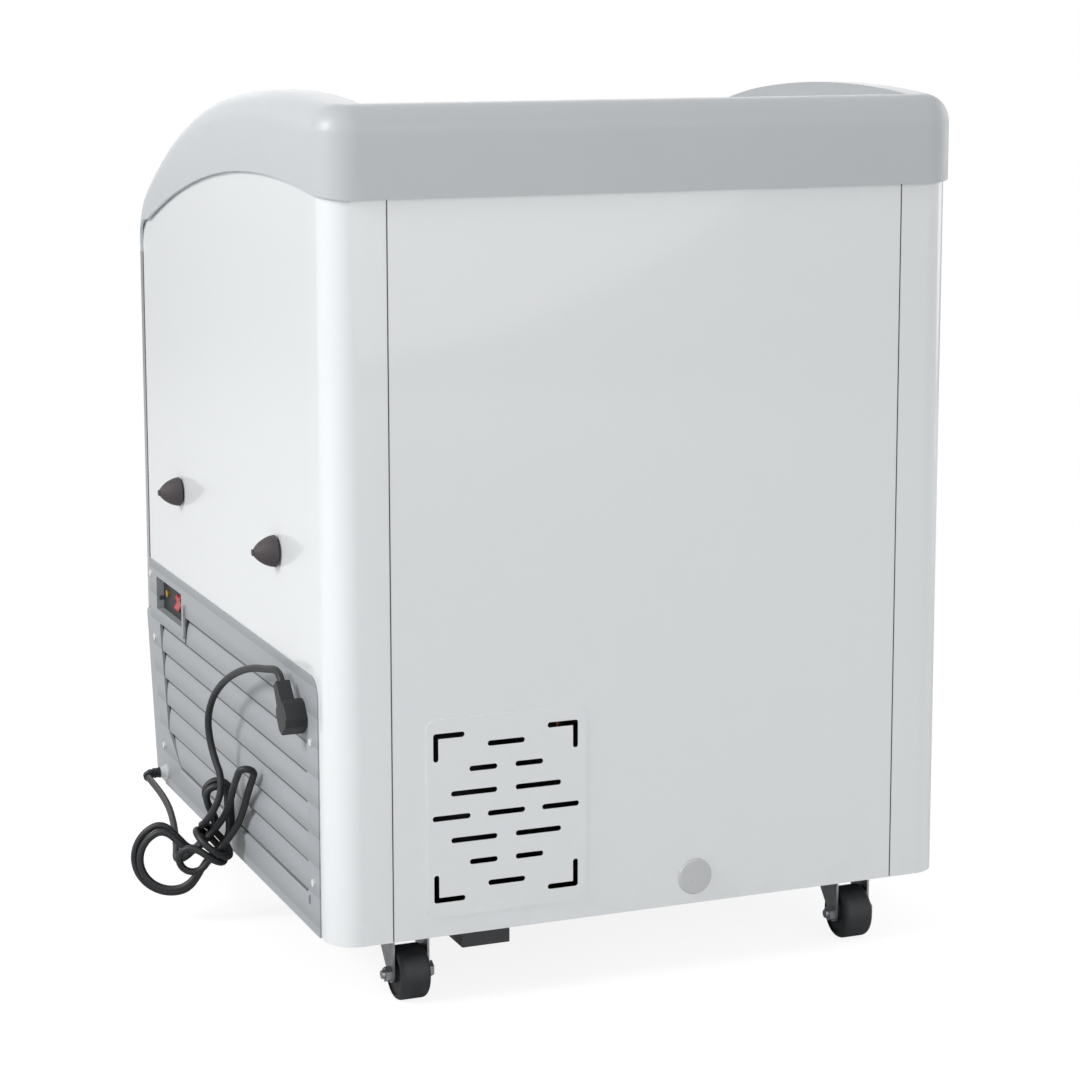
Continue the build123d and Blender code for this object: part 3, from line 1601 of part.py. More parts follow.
# Castors
def caster_plate(x, king_y):
    block(
        (x - plate_size[0] / 2, x + plate_size[0] / 2),
        (king_y - plate_size[1] / 2, king_y + plate_size[1] / 2),
        (plate_low_z, base_z),
    )
    with BuildSketch(Plane(origin=(x, king_y, race_low_z))) as race:
        Circle(race_radius)
    extrude(race.sketch, amount=plate_low_z - race_low_z)
    with BuildSketch(Plane(origin=(x, king_y, race_low_z))) as bore:
        Circle(king_radius)
    extrude(bore.sketch, amount=plate_low_z - race_low_z, mode=Mode.SUBTRACT)


def king_bolt(x, king_y):
    head_top_z = crown_span[0] - 2 * running_gap
    with BuildSketch(Plane(origin=(x, king_y, head_top_z))) as shank:
        Circle(king_radius)
    extrude(shank.sketch, amount=plate_low_z - head_top_z)
    with BuildSketch(Plane(origin=(x, king_y, head_top_z))) as head:
        RegularPolygon(king_head[0], 6)
    extrude(head.sketch, amount=-king_head[1])


fork_outer = wheel_width / 2 + fork_gap + fork_wall
fork_inner = wheel_width / 2 + fork_gap


def fork_side(way, axle_y):
    # The fork's side outline; the castor trails towards +Y when way is 1.
    crown_z = crown_span[1]
    with BuildLine() as outline:
        Polyline(
            (axle_y + way * fork_rear_reach, wheel_radius),
            (axle_y + way * fork_rear_reach, crown_z),
            (axle_y - way * tab_reach[1], crown_z),
            (axle_y - way * sum(tab_reach) / 2, tab_tip_z),
            (axle_y - way * (tab_reach[0] + fork_wall), crown_span[0] - fork_wall),
            (axle_y - way * fork_rear_reach, wheel_radius),
        )
        ThreePointArc(
            (axle_y - way * fork_rear_reach, wheel_radius),
            (axle_y, wheel_radius - fork_rear_reach),
            (axle_y + way * fork_rear_reach, wheel_radius),
        )
    make_face(outline.edges())


def caster(name, x, axle_y, way):
    king_y = axle_y - way * caster_trail
    axle_plane = Plane(origin=(x, axle_y, wheel_radius), z_dir=(1, 0, 0))
    with BuildPart() as fork:
        for side in (-1, 1):
            low_x = x + min(side * fork_inner, side * fork_outer)
            with BuildSketch(Plane.YZ.offset(low_x)) as leg:
                fork_side(way, axle_y)
            extrude(leg.sketch, amount=fork_wall)
        block(
            (x - fork_outer, x + fork_outer),
            sorted((axle_y + way * fork_rear_reach, axle_y - way * tab_reach[1])),
            crown_span,
        )
        with BuildSketch(Plane(origin=(x, king_y, crown_span[0]))) as king_hole:
            Circle(king_radius + running_gap)
        extrude(king_hole.sketch, amount=fork_wall * 2, mode=Mode.SUBTRACT)
        with BuildSketch(axle_plane.offset(-fork_outer)) as axle_hole:
            Circle(axle_radius)
        extrude(axle_hole.sketch, amount=2 * fork_outer, mode=Mode.SUBTRACT)
    save(fork, name + "_fork")
    with BuildPart() as axle:
        with BuildSketch(axle_plane.offset(-fork_outer)):
            Circle(axle_radius)
        extrude(amount=2 * fork_outer + axle_head[1] + axle_end)
        with BuildSketch(axle_plane.offset(-fork_outer)):
            RegularPolygon(axle_head[0], 6)
        extrude(amount=-axle_head[1])
        with BuildSketch(axle_plane.offset(fork_outer)):
            RegularPolygon(axle_nut_span / 2, 6)
        extrude(amount=axle_head[1])
    save(axle, name + "_axle")
    with BuildPart() as wheel:
        with BuildSketch(axle_plane.offset(-wheel_width / 2)):
            Circle(wheel_radius)
        extrude(amount=wheel_width)
        fillet(wheel.edges().filter_by(GeomType.CIRCLE), wheel_round)
        for end in (-wheel_width / 2, wheel_width / 2 - wheel_dish):
            with BuildSketch(axle_plane.offset(end)):
                Circle(wheel_radius - wheel_rim)
                Circle(hub_radius, mode=Mode.SUBTRACT)
            extrude(amount=wheel_dish, mode=Mode.SUBTRACT)
        with BuildSketch(axle_plane.offset(-fork_inner + running_gap)):
            Circle(hub_boss_radius)
        extrude(amount=2 * fork_inner - 2 * running_gap)
        with BuildSketch(axle_plane.offset(-fork_inner)):
            Circle(axle_radius + running_gap)
        extrude(amount=2 * fork_inner, mode=Mode.SUBTRACT)
    save(wheel, name + "_wheel")
    return (x, king_y)


rear_axle_y = mid_y + rear_axle_from_middle
front_axle_y = mid_y + front_axle_from_middle
kings = []
for end, end_name in ((-1, "left"), (1, "right")):
    caster_x = mid_x + end * caster_from_middle
    kings.append(caster("rear_" + end_name, caster_x, rear_axle_y, 1))
    kings.append(caster("front_" + end_name, caster_x, front_axle_y, -1))

with BuildPart() as caster_plates:
    for x, king_y in kings:
        caster_plate(x, king_y)
save(caster_plates, "caster_plates")

with BuildPart() as caster_bolts:
    for x, king_y in kings:
        king_bolt(x, king_y)
save(caster_bolts, "caster_bolts")


# Cord: the lead from the gland, the knotted hank and the lead to the plug
cord_width = 2 * cord_radius
across = Vector(cos(hank_heading), sin(hank_heading), 0)
upward = Vector(0, 0, 1)
outward = Vector(sin(hank_heading), -cos(hank_heading), 0)
along = across * cos(bundle_lean) + upward * sin(bundle_lean)
beside = upward * cos(bundle_lean) - across * sin(bundle_lean)
first_depth = -(bundle_passes - 1) * bundle_step / 4
hank_middle = Vector(*from_middle(hank_waist))
hank_knots = []


def knot(place, way):
    hank_knots.append((hank_middle + place, way.normalized()))


def in_hank(parts):
    return across * parts[0] + upward * parts[1] + outward * parts[2]


def bundle_pass(index):
    # One straight run of the cord through the wrapped waist, on alternate sides.
    side = 1 if index % 2 == 0 else -1
    depth = outward * (first_depth + index * bundle_step / 2)
    knot(depth + (beside * bundle_gap - along * bundle_half) * side, along * side)
    knot(depth + (beside * bundle_gap + along * bundle_half) * side, along * side)


def open_loop(turn, reach, half_width, depth):
    # A long narrow loop that leaves the waist in one direction and comes back.
    way = across * cos(radians(turn)) + upward * sin(radians(turn))
    wide = across * sin(radians(turn)) - upward * cos(radians(turn))
    shift = outward * depth
    knot(shift + way * (reach - half_width) - wide * half_width, way)
    knot(shift + way * reach, wide)
    knot(shift + way * (reach - half_width) + wide * half_width, -way)


bundle_pass(0)
for index, (turn, reach, half_width) in enumerate(hank_loops):
    open_loop(turn, reach, half_width, first_depth + (index / 2 + 0.25) * bundle_step)
    bundle_pass(index + 1)
long_way = in_hank(long_loop_way).normalized()
long_wide = (across - long_way * across.dot(long_way)).normalized()
knot(long_way * (long_loop_reach - long_loop_half) - long_wide * long_loop_half, long_way)
knot(long_way * long_loop_reach, long_wide)
knot(long_way * (long_loop_reach - long_loop_half) + long_wide * long_loop_half, -long_way)
bundle_pass(bundle_passes - 1)

# A half turn brings the cord round into the wrap, which winds about the bundle.
last_depth = first_depth + (bundle_passes - 1) * bundle_step / 2
ring_middle = along * ring_center[0] + beside * ring_center[1] + outward * last_depth
knot(ring_middle - beside * ring_radius + outward * ring_climb[0], -along)
knot(ring_middle - along * ring_radius + outward * ring_climb[1], beside)
knot(ring_middle + beside * ring_radius + outward * ring_climb[2], along)
for quarter in range(wrap_quarters + 1):
    phase = (quarter + 1) * pi / 2
    place = along * (ring_center[0] + ring_radius + wrap_pitch * quarter / 4)
    place += (beside * cos(phase) + outward * sin(phase)) * wrap_radius
    way = along * (wrap_pitch / (2 * pi))
    way += (outward * cos(phase) - beside * sin(phase)) * wrap_radius
    knot(place, way)
knot(in_hank(hank_exit), in_hank(hank_exit_way))


def knotted_line(knots):
    # Lines and pairs of arcs that join the knots smoothly; returns each arc's radius.
    radii = []
    for (start, start_way), (end, end_way) in zip(knots, knots[1:]):
        step = end - start
        if start_way.cross(end_way).length + step.normalized().cross(start_way).length < straight_limit:
            Line(start, end)
            continue
        both = start_way + end_way
        fall = 2 * (1 - start_way.dot(end_way))
        pull = 2 * step.dot(both)
        spread = step.dot(step)
        if fall < straight_limit:
            reach = spread / pull
        else:
            reach = (sqrt(pull**2 + 4 * fall * spread) - pull) / (2 * fall)
        middle = (start + start_way * reach + end - end_way * reach) * 0.5
        chord = (middle - start).normalized()
        middle_way = chord * (2 * chord.dot(start_way)) - start_way
        for low, high, way in ((start, middle, start_way), (middle, end, middle_way)):
            arc = TangentArc(low, high, tangent=way)
            radii.append(arc.radius)
    return radii


def least_self_gap(line):
    # The least distance between the surfaces of parts of the cord that are far apart along it.
    points = []
    for edge in line.edges():
        points += [edge.position_at(step / gap_samples) for step in range(gap_samples)]
    reaches = [0.0]
    for first, second in zip(points, points[1:]):
        reaches.append(reaches[-1] + (second - first).length)
    places = [(*point, reach) for point, reach in zip(points, reaches)]
    least = gap_skip
    for index, (x, y, z, reach) in enumerate(places):
        for other_x, other_y, other_z, other_reach in places[index + 1 :]:
            if other_reach - reach > gap_skip:
                least = min(least, hypot(x - other_x, y - other_y, z - other_z))
    return least - cord_width


def cord_solid(line):
    with BuildSketch(Plane(origin=line @ 0, z_dir=line % 0)) as section:
        Circle(cord_radius)
    sweep(section.sketch, path=line)
    length = sum(edge.length for edge in line.edges())
    print("length", length, "section times length", pi * cord_radius**2 * length)


def bend_radii(points):
    # Each corner's radius, from the shorter run beside it and its turn.
    radii = []
    for before, corner, after in zip(points, points[1:], points[2:]):
        run_in = Vector(*corner) - Vector(*before)
        run_out = Vector(*after) - Vector(*corner)
        turn = radians(run_in.get_angle(run_out))
        radii.append(bend_share * min(run_in.length, run_out.length) / tan(turn / 2))
    return radii


def cord_lead(label, points):
    places = [from_middle(point) for point in points]
    radii = bend_radii(places)
    with BuildPart() as lead:
        with BuildLine() as route:
            FilletPolyline(*places, radius=radii)
        cord_solid(route.line)
    print(label, "volume", lead.part.volume, "radii", [round(radius, 1) for radius in radii])
    save(lead, label)


with BuildPart() as cord_hank:
    with BuildLine() as hank_route:
        hank_radii = knotted_line(hank_knots)
    cord_solid(hank_route.line)
print("cord_hank volume", cord_hank.part.volume, "least radius", min(hank_radii))
print("cord_hank least gap to itself", least_self_gap(hank_route.line))
save(cord_hank, "cord_hank")


def to_middle(place):
    return (place.X - mid_x, place.Y - mid_y, place.Z)


def turned_in(end, end_way, first_way, run, steps):
    # Points of a bend that turns evenly from one direction into the end's own.
    total = radians(first_way.get_angle(end_way))
    points = [end]
    for step in range(steps):
        rest = step * total / steps
        way = (first_way * sin(rest) + end_way * sin(total - rest)) * (1 / sin(total))
        points.insert(0, points[0] - way * run)
    return [to_middle(point) for point in points]


hank_start, start_way = hank_knots[0]
hank_end, end_way = hank_knots[-1]
gland_end = (right_x + grille_proud + gland_reach - mid_x, gland_from_middle, gland_z)
lead_bend = turned_in(
    hank_start, start_way, Vector(*lead_turn_way).normalized(), lead_turn_run, lead_turn_steps
)
cord_lead("mains_lead", (gland_end, *lead_places, *lead_bend))

entry_place = Vector(*from_middle(plug_entry))
cord_lead(
    "plug_lead",
    (
        to_middle(hank_end),
        to_middle(hank_end + end_way * plug_lead_run),
        *plug_lead_places,
        to_middle(entry_place - plug_way * plug_entry_run),
        plug_entry,
    ),
)


def mirrored_outline(half):
    # A closed outline from one side's points, mirrored about the plug's middle.
    Polyline(*half, *((place, -width) for place, width in reversed(half)), close=True)


with BuildPart() as plug:
    with BuildSketch(plug_plane):
        with BuildLine():
            mirrored_outline(plug_block)
        make_face()
    extrude(amount=plug_depth)
    fillet(plug.faces().sort_by(Axis.X)[-1].edges(), plug_round)
    neck_floor = entry_place.X - plug_back[0] - plug_neck_depth / 2
    with BuildSketch(plug_plane.offset(neck_floor)):
        with BuildLine():
            mirrored_outline(plug_neck)
        make_face()
    extrude(amount=plug_neck_depth)
    plug_blades(0.0, Mode.ADD)
save(plug, "plug")
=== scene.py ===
import json
import math

import bmesh
import bpy
from mathutils import Matrix, Vector


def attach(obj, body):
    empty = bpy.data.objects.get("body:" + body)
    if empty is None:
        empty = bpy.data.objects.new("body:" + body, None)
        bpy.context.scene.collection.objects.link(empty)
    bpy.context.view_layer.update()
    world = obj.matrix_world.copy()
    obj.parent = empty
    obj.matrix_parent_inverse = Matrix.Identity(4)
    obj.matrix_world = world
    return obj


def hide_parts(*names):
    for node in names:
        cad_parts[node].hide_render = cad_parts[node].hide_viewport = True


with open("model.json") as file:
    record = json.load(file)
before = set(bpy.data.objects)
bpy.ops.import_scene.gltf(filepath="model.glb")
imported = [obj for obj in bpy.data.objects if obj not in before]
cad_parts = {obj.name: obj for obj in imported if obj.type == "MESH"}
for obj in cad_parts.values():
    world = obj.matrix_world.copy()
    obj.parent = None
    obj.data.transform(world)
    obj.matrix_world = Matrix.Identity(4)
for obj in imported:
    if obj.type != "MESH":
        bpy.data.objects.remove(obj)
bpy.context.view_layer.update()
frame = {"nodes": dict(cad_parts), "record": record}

mm = 0.001
print("stage: frame loaded,", len(frame["nodes"]), "nodes")


# The camera, fitted to the photograph.
cameraView = {
    "place": (1.0343, 2.6191, 0.9064),
    "azimuth": math.radians(158.125),
    "elevation": math.radians(8.778),
    "roll": math.radians(-0.1303),
    "lens": 93.743,
    "shift": (0.01209, -0.10242),
    "sensor": 36,
    "farthest": 50,
}


def placeCamera(v):
    a, e, r = v["azimuth"], v["elevation"], v["roll"]
    back = Vector((math.sin(a) * math.cos(e), -math.cos(a) * math.cos(e), math.sin(e)))
    right = Vector((math.cos(a), math.sin(a), 0))
    up = back.cross(right)
    level = right * math.cos(r) + up * math.sin(r)
    plumb = up * math.cos(r) - right * math.sin(r)
    data = bpy.data.cameras.new("photoCamera")
    data.lens = v["lens"]
    data.sensor_fit = "HORIZONTAL"
    data.sensor_width = v["sensor"]
    data.shift_x, data.shift_y = v["shift"]
    data.clip_end = v["farthest"]
    camera = bpy.data.objects.new("photoCamera", data)
    turn = Matrix((level, plumb, back)).transposed().to_4x4()
    camera.matrix_world = Matrix.Translation(Vector(v["place"])) @ turn
    bpy.context.scene.collection.objects.link(camera)
    bpy.context.scene.camera = camera


placeCamera(cameraView)
bpy.context.scene.view_settings.view_transform = "Standard"


# Node sheets: one way to add any node, and arithmetic on its sockets.
class Link:
    def __init__(self, sheet, socket):
        self.sheet = sheet
        self.socket = socket

    def join(self, operation, first, second):
        made = self.sheet.node("ShaderNodeMath", {"operation": operation}, {0: first, 1: second})
        return self.sheet.out(made)

    def __add__(self, other):
        return self.join("ADD", self, other)

    def __radd__(self, other):
        return self.join("ADD", other, self)

    def __sub__(self, other):
        return self.join("SUBTRACT", self, other)

    def __rsub__(self, other):
        return self.join("SUBTRACT", other, self)

    def __mul__(self, other):
        return self.join("MULTIPLY", self, other)

    def __rmul__(self, other):
        return self.join("MULTIPLY", other, self)

    def __truediv__(self, other):
        return self.join("DIVIDE", self, other)

    def __rtruediv__(self, other):
        return self.join("DIVIDE", other, self)

    def above(self, level, width):
        # 0 below the level, 1 above it, with a soft edge.
        made = self.sheet.node(
            "ShaderNodeMapRange",
            {"interpolation_type": "SMOOTHSTEP"},
            {"Value": self, "From Min": level - width / 2, "From Max": level + width / 2},
        )
        return self.sheet.out(made)


class Sheet:
    def __init__(self, tree):
        self.tree = tree

    def node(self, kind, settings=None, inputs=None):
        made = self.tree.nodes.new(kind)
        for key, value in (settings or {}).items():
            setattr(made, key, value)
        for key, value in (inputs or {}).items():
            if isinstance(value, Link):
                self.tree.links.new(value.socket, made.inputs[key])
            else:
                made.inputs[key].default_value = value
        return made

    def out(self, made, key=0):
        return Link(self, made.outputs[key])

    def smooth(self, mesh, smoothed, domain):
        made = self.node("GeometryNodeSetShadeSmooth", {"domain": domain}, {0: mesh, 2: smoothed})
        return self.out(made)

    def finish(self, mesh, slot):
        # Ends a node tree that makes a mesh: smooth faces and one material.
        smooth = self.smooth(mesh, True, "FACE")
        made = self.node("GeometryNodeSetMaterial", {}, {0: smooth, "Material": finishes[slot]})
        self.node("NodeGroupOutput", {}, {0: self.out(made)})


class Finish(Sheet):
    # A material whose texture is read from Object coordinates, in metres.
    def __init__(self, name):
        self.material = bpy.data.materials.new(name)
        self.material.use_nodes = True
        self.material.node_tree.nodes.clear()
        super().__init__(self.material.node_tree)
        self.place = self.out(self.node("ShaderNodeTexCoord"), "Object")

    def stretched(self, scale):
        made = self.node("ShaderNodeMapping", {}, {"Vector": self.place, "Scale": scale})
        return self.out(made)

    def noise(self, scale, detail, rough=0.55, place=None):
        made = self.node(
            "ShaderNodeTexNoise",
            {},
            {"Vector": place or self.place, "Scale": scale, "Detail": detail, "Roughness": rough},
        )
        return self.out(made, "Fac")

    def cells(self, scale, feature="F1", output="Distance"):
        inputs = {"Vector": self.place, "Scale": scale}
        return self.out(self.node("ShaderNodeTexVoronoi", {"feature": feature}, inputs), output)

    def axis(self, letter):
        return self.out(self.node("ShaderNodeSeparateXYZ", {}, {0: self.place}), letter)

    def blend(self, share, first, second):
        # Inputs 6 and 7 and output 2 are the colour ones; the sockets share their names.
        made = self.node("ShaderNodeMix", {"data_type": "RGBA"}, {0: share, 6: first, 7: second})
        return self.out(made, 2)

    def bump(self, relief, depth):
        inputs = {"Height": relief, "Distance": depth, "Strength": 1.0}
        return self.out(self.node("ShaderNodeBump", {}, inputs), "Normal")

    def show(self, inputs):
        shader = self.node("ShaderNodeBsdfPrincipled", {}, inputs)
        self.node("ShaderNodeOutputMaterial", {}, {"Surface": self.out(shader)})
        return self.material


def tone(rgb, share=1.0):
    return (rgb[0] * share, rgb[1] * share, rgb[2] * share, 1.0)


# Finishes. Colours are linear, scales are per metre and depths are in metres.
paintSettings = {
    "color": (0.83, 0.855, 0.87), "cloud": 3.0, "spread": 0.012,
    "peel": 420.0, "peelDepth": 0.000002,
    "roughness": 0.22, "smear": 7.0, "roughSpread": 0.03, "coat": 0.6, "coatRoughness": 0.05,
    "dustTop": 0.10, "dustFade": 0.22, "dust": 0.06, "dustRough": 0.5,
    "dustScale": 38.0, "dustLevel": 0.52, "dustEdge": 0.25, "dustColor": (0.50, 0.49, 0.47),
    "endColor": (0.33, 0.345, 0.35), "endFrom": 0.3070, "endEdge": 0.0008, "middle": -0.0095,
}
plasticSettings = {
    "framePlastic": {
        "color": (0.525, 0.548, 0.568), "grain": 2600.0, "depth": 0.00003, "roughness": 0.40,
        "cloud": 7.0, "spread": 0.04, "coat": 0.12,
    },
    "grillePlastic": {
        "color": (0.365, 0.384, 0.405), "grain": 2400.0, "depth": 0.00003, "roughness": 0.44,
        "cloud": 9.0, "spread": 0.05, "coat": 0.08,
    },
    "blackPlastic": {
        "color": (0.013, 0.014, 0.016), "grain": 1900.0, "depth": 0.00004, "roughness": 0.46,
        "cloud": 30.0, "spread": 0.20, "coat": 0.0,
    },
    "redPlastic": {
        "color": (0.42, 0.010, 0.016), "grain": 900.0, "depth": 0.000006, "roughness": 0.34,
        "cloud": 60.0, "spread": 0.06, "coat": 0.1,
    },
    "glandNylon": {
        "color": (0.66, 0.675, 0.69), "grain": 2200.0, "depth": 0.00003, "roughness": 0.38,
        "cloud": 60.0, "spread": 0.06, "coat": 0.1,
    },
    "capPlastic": {
        "color": (0.57, 0.582, 0.59), "grain": 1500.0, "depth": 0.00001, "roughness": 0.28,
        "cloud": 40.0, "spread": 0.04, "coat": 0.2,
    },
    "lampLens": {
        "color": (0.05, 0.42, 0.12), "grain": 700.0, "depth": 0.000006, "roughness": 0.12,
        "cloud": 80.0, "spread": 0.10, "coat": 0.6,
    },
}
# Painted shade on the louvres: a dark line under each lip and a darker foot on each slat, in
# metres.
louvreSettings = {
    "top": 0.2688, "pitch": 0.02775, "face": 0.2975, "faceEdge": 0.0006,
    "line": 0.18, "soft": 0.04, "dark": 0.92, "lineTone": 0.12,
    "foot": 0.35, "footFrom": 0.72, "footEdge": 0.6, "footTone": 0.45,
}
wearSettings = {
    "scale": 70.0, "stretch": (1.0, 0.25, 1.0), "level": 0.62, "edge": 0.1, "gloss": 0.05,
    "cloudRough": 0.08, "coatRoughness": 0.25,
}
bloomSettings = {
    "level": 0.60, "edge": 0.2, "share": 0.25, "color": (0.16, 0.155, 0.15),
    "coarser": 6, "coarseShare": 0.7, "cloudRough": 0.14, "bloomRough": 0.4,
}
dullSettings = {"level": 0.55, "edge": 0.3, "share": 0.7, "lineRough": 0.10, "patchRough": 0.12}
rubberSettings = {
    "cordJacket": {
        "color": (0.011, 0.012, 0.014), "grain": 1300.0, "depth": 0.00004, "roughness": 0.42,
        "cloud": 26.0, "spread": 0.30, "dust": 0.35,
    },
    "wheelRubber": {
        "color": (0.014, 0.0155, 0.018), "grain": 1100.0, "depth": 0.00005, "roughness": 0.50,
        "cloud": 40.0, "spread": 0.30, "dust": 0.5,
    },
    "darkRubber": {
        "color": (0.062, 0.052, 0.056), "grain": 1500.0, "depth": 0.00004, "roughness": 0.58,
        "cloud": 60.0, "spread": 0.18, "dust": 0.3,
    },
}
metalSettings = {
    "zincPlate": {
        "color": (0.36, 0.37, 0.39), "tint": (0.29, 0.29, 0.29), "metal": 0.85, "roughness": 0.34,
        "stretch": (1.0, 1.0, 0.12), "grain": 900.0, "depth": 0.00001, "patch": 60.0,
    },
    "brightZinc": {
        "color": (0.82, 0.83, 0.84), "tint": (0.70, 0.71, 0.71), "metal": 0.35, "roughness": 0.30,
        "stretch": (1.0, 1.0, 1.0), "grain": 1200.0, "depth": 0.000008, "patch": 150.0,
    },
    "brassPlate": {
        "color": (0.72, 0.50, 0.14), "tint": (0.50, 0.33, 0.10), "metal": 1.0, "roughness": 0.28,
        "stretch": (1.0, 1.0, 1.0), "grain": 1500.0, "depth": 0.000008, "patch": 180.0,
    },
    "copper": {
        "color": (0.78, 0.38, 0.24), "tint": (0.42, 0.19, 0.13), "metal": 1.0, "roughness": 0.32,
        "stretch": (0.3, 0.3, 1.0), "grain": 700.0, "depth": 0.00001, "patch": 35.0,
    },
    "finAluminium": {
        "color": (0.66, 0.67, 0.68), "tint": (0.50, 0.51, 0.52), "metal": 1.0, "roughness": 0.38,
        "stretch": (1.0, 0.1, 1.0), "grain": 800.0, "depth": 0.00001, "patch": 40.0,
    },
    "motorSteel": {
        "color": (0.42, 0.43, 0.45), "tint": (0.30, 0.31, 0.32), "metal": 0.9, "roughness": 0.36,
        "stretch": (1.0, 0.2, 1.0), "grain": 900.0, "depth": 0.00001, "patch": 50.0,
    },
}


def whitePaint(name, s, grayEnds=False):
    # Gloss stove paint on sheet steel, with a faint peel and a little dust low down.
    # The ends of the front panel, far from its middle, are grey.
    m = Finish(name)
    cloud = m.noise(s["cloud"], detail=2.0)
    low = 1 - m.axis("Z").above(s["dustTop"], s["dustFade"])
    specks = m.noise(s["dustScale"], detail=4.0).above(s["dustLevel"], s["dustEdge"])
    dust = low * specks * s["dust"]
    clean = m.blend(cloud, tone(s["color"]), tone(s["color"], 1 - s["spread"]))
    color = m.blend(dust, clean, tone(s["dustColor"]))
    if grayEnds:
        offset = m.axis("X") - s["middle"]
        aside = m.out(m.node("ShaderNodeMath", {"operation": "ABSOLUTE"}, {0: offset}))
        color = m.blend(aside.above(s["endFrom"], s["endEdge"]), color, tone(s["endColor"]))
    smear = m.noise(s["smear"], detail=2.0)
    return m.show({
        "Base Color": color,
        "Roughness": s["roughness"] + smear * s["roughSpread"] + dust * s["dustRough"],
        "Coat Weight": s["coat"], "Coat Roughness": s["coatRoughness"],
        "Normal": m.bump(m.noise(s["peel"], detail=1.5), s["peelDepth"]),
    })


def aroundTone(m, cloud, s):
    # The colour of a plastic, a little lighter and darker in clouds.
    half = s["spread"] / 2
    return m.blend(cloud, tone(s["color"], 1 + half), tone(s["color"], 1 - half))


def mouldedPlastic(name, s, wear=wearSettings):
    # Injection-moulded plastic with a fine spark-eroded grain.
    m = Finish(name)
    cloud = m.noise(s["cloud"], detail=3.0)
    grain = m.noise(s["grain"], detail=2.0, rough=0.7)
    streaks = m.noise(wear["scale"], detail=4.0, rough=0.6, place=m.stretched(wear["stretch"]))
    rubbed = streaks.above(wear["level"], wear["edge"])
    return m.show({
        "Base Color": aroundTone(m, cloud, s),
        "Roughness": s["roughness"] + cloud * wear["cloudRough"] - rubbed * wear["gloss"],
        "Coat Weight": s["coat"], "Coat Roughness": wear["coatRoughness"],
        "Normal": m.bump(grain, s["depth"]),
    })


def louvrePlastic(s, row, wear=wearSettings):
    # The grille's plastic, with painted shade: a dark line under the lip of each louvre and a
    # darker foot on each slat.
    m = Finish("louvrePlastic")
    cloud = m.noise(s["cloud"], detail=3.0)
    grain = m.noise(s["grain"], detail=2.0, rough=0.7)
    turns = (row["top"] - m.axis("Z")) / row["pitch"]
    phase = m.out(m.node("ShaderNodeMath", {"operation": "FRACT"}, {0: turns}))
    sunk = 1 - m.axis("X").above(row["face"], row["faceEdge"])
    # Painted shade: a dark line just under the lip of each louvre, on the sunk faces.
    line = (1 - phase.above(row["line"], row["soft"])) * sunk
    # Painted shade: each slat darker towards its foot.
    foot = phase.above(row["footFrom"], row["footEdge"]) * row["foot"]
    shaded = m.blend(foot, aroundTone(m, cloud, s), tone(s["color"], row["footTone"]))
    return m.show({
        "Base Color": m.blend(line * row["dark"], shaded, tone(s["color"], row["lineTone"])),
        "Roughness": s["roughness"] + cloud * wear["cloudRough"],
        "Coat Weight": s["coat"], "Coat Roughness": wear["coatRoughness"],
        "Normal": m.bump(grain, s["depth"]),
    })


def rubber(name, s, b=bloomSettings):
    # Soft black jacket or tread with a dull bloom and dust in patches.
    m = Finish(name)
    cloud = m.noise(s["cloud"], detail=3.0)
    bloom = cloud.above(b["level"], b["edge"]) * s["dust"] * b["share"]
    base = m.blend(cloud, tone(s["color"], 1 + s["spread"]), tone(s["color"], 1 - s["spread"]))
    coarse = m.noise(s["grain"] / b["coarser"], detail=2.0) * b["coarseShare"]
    relief = m.noise(s["grain"], detail=2.0, rough=0.6) + coarse
    return m.show({
        "Base Color": m.blend(bloom, base, tone(b["color"])),
        "Roughness": s["roughness"] + cloud * b["cloudRough"] + bloom * b["bloomRough"],
        "Normal": m.bump(relief, s["depth"]),
    })


def worked(name, s, dull=dullSettings):
    # Drawn, pressed or plated metal with fine lines and dull patches.
    m = Finish(name)
    lines = m.noise(s["grain"], detail=2.0, rough=0.6, place=m.stretched(s["stretch"]))
    patch = m.noise(s["patch"], detail=4.0, rough=0.6).above(dull["level"], dull["edge"])
    return m.show({
        "Base Color": m.blend(patch * dull["share"], tone(s["color"]), tone(s["tint"])),
        "Metallic": s["metal"],
        "Roughness": s["roughness"] + lines * dull["lineRough"] + patch * dull["patchRough"],
        "Normal": m.bump(lines, s["depth"]),
    })


galvanisedSettings = {
    "spangle": 130.0, "dark": (0.44, 0.46, 0.48), "light": (0.62, 0.64, 0.66), "metal": 0.9,
    "roughness": 0.36, "spread": 0.16, "edge": 0.02, "edgeWidth": 0.04, "depth": 0.00001,
}


def galvanised(s):
    # Hot-dipped sheet: crystals of slightly different greys.
    m = Finish("galvanised")
    crystals = m.cells(s["spangle"], "F1", "Color")
    gray = m.out(m.node("ShaderNodeSeparateColor", {}, {0: crystals}), "Red")
    border = m.cells(s["spangle"], "DISTANCE_TO_EDGE").above(s["edge"], s["edgeWidth"])
    return m.show({
        "Base Color": m.blend(gray, tone(s["dark"]), tone(s["light"])), "Metallic": s["metal"],
        "Roughness": s["roughness"] + gray * s["spread"], "Normal": m.bump(border, s["depth"]),
    })


stoveSettings = {
    "peel": 600.0, "chips": 90.0, "chipLevel": 0.74, "chipEdge": 0.02, "chipShare": 0.6,
    "color": (0.018, 0.019, 0.021), "bare": (0.10, 0.10, 0.105), "roughness": 0.36,
    "spread": 0.14, "coat": 0.15, "depth": 0.00003,
}


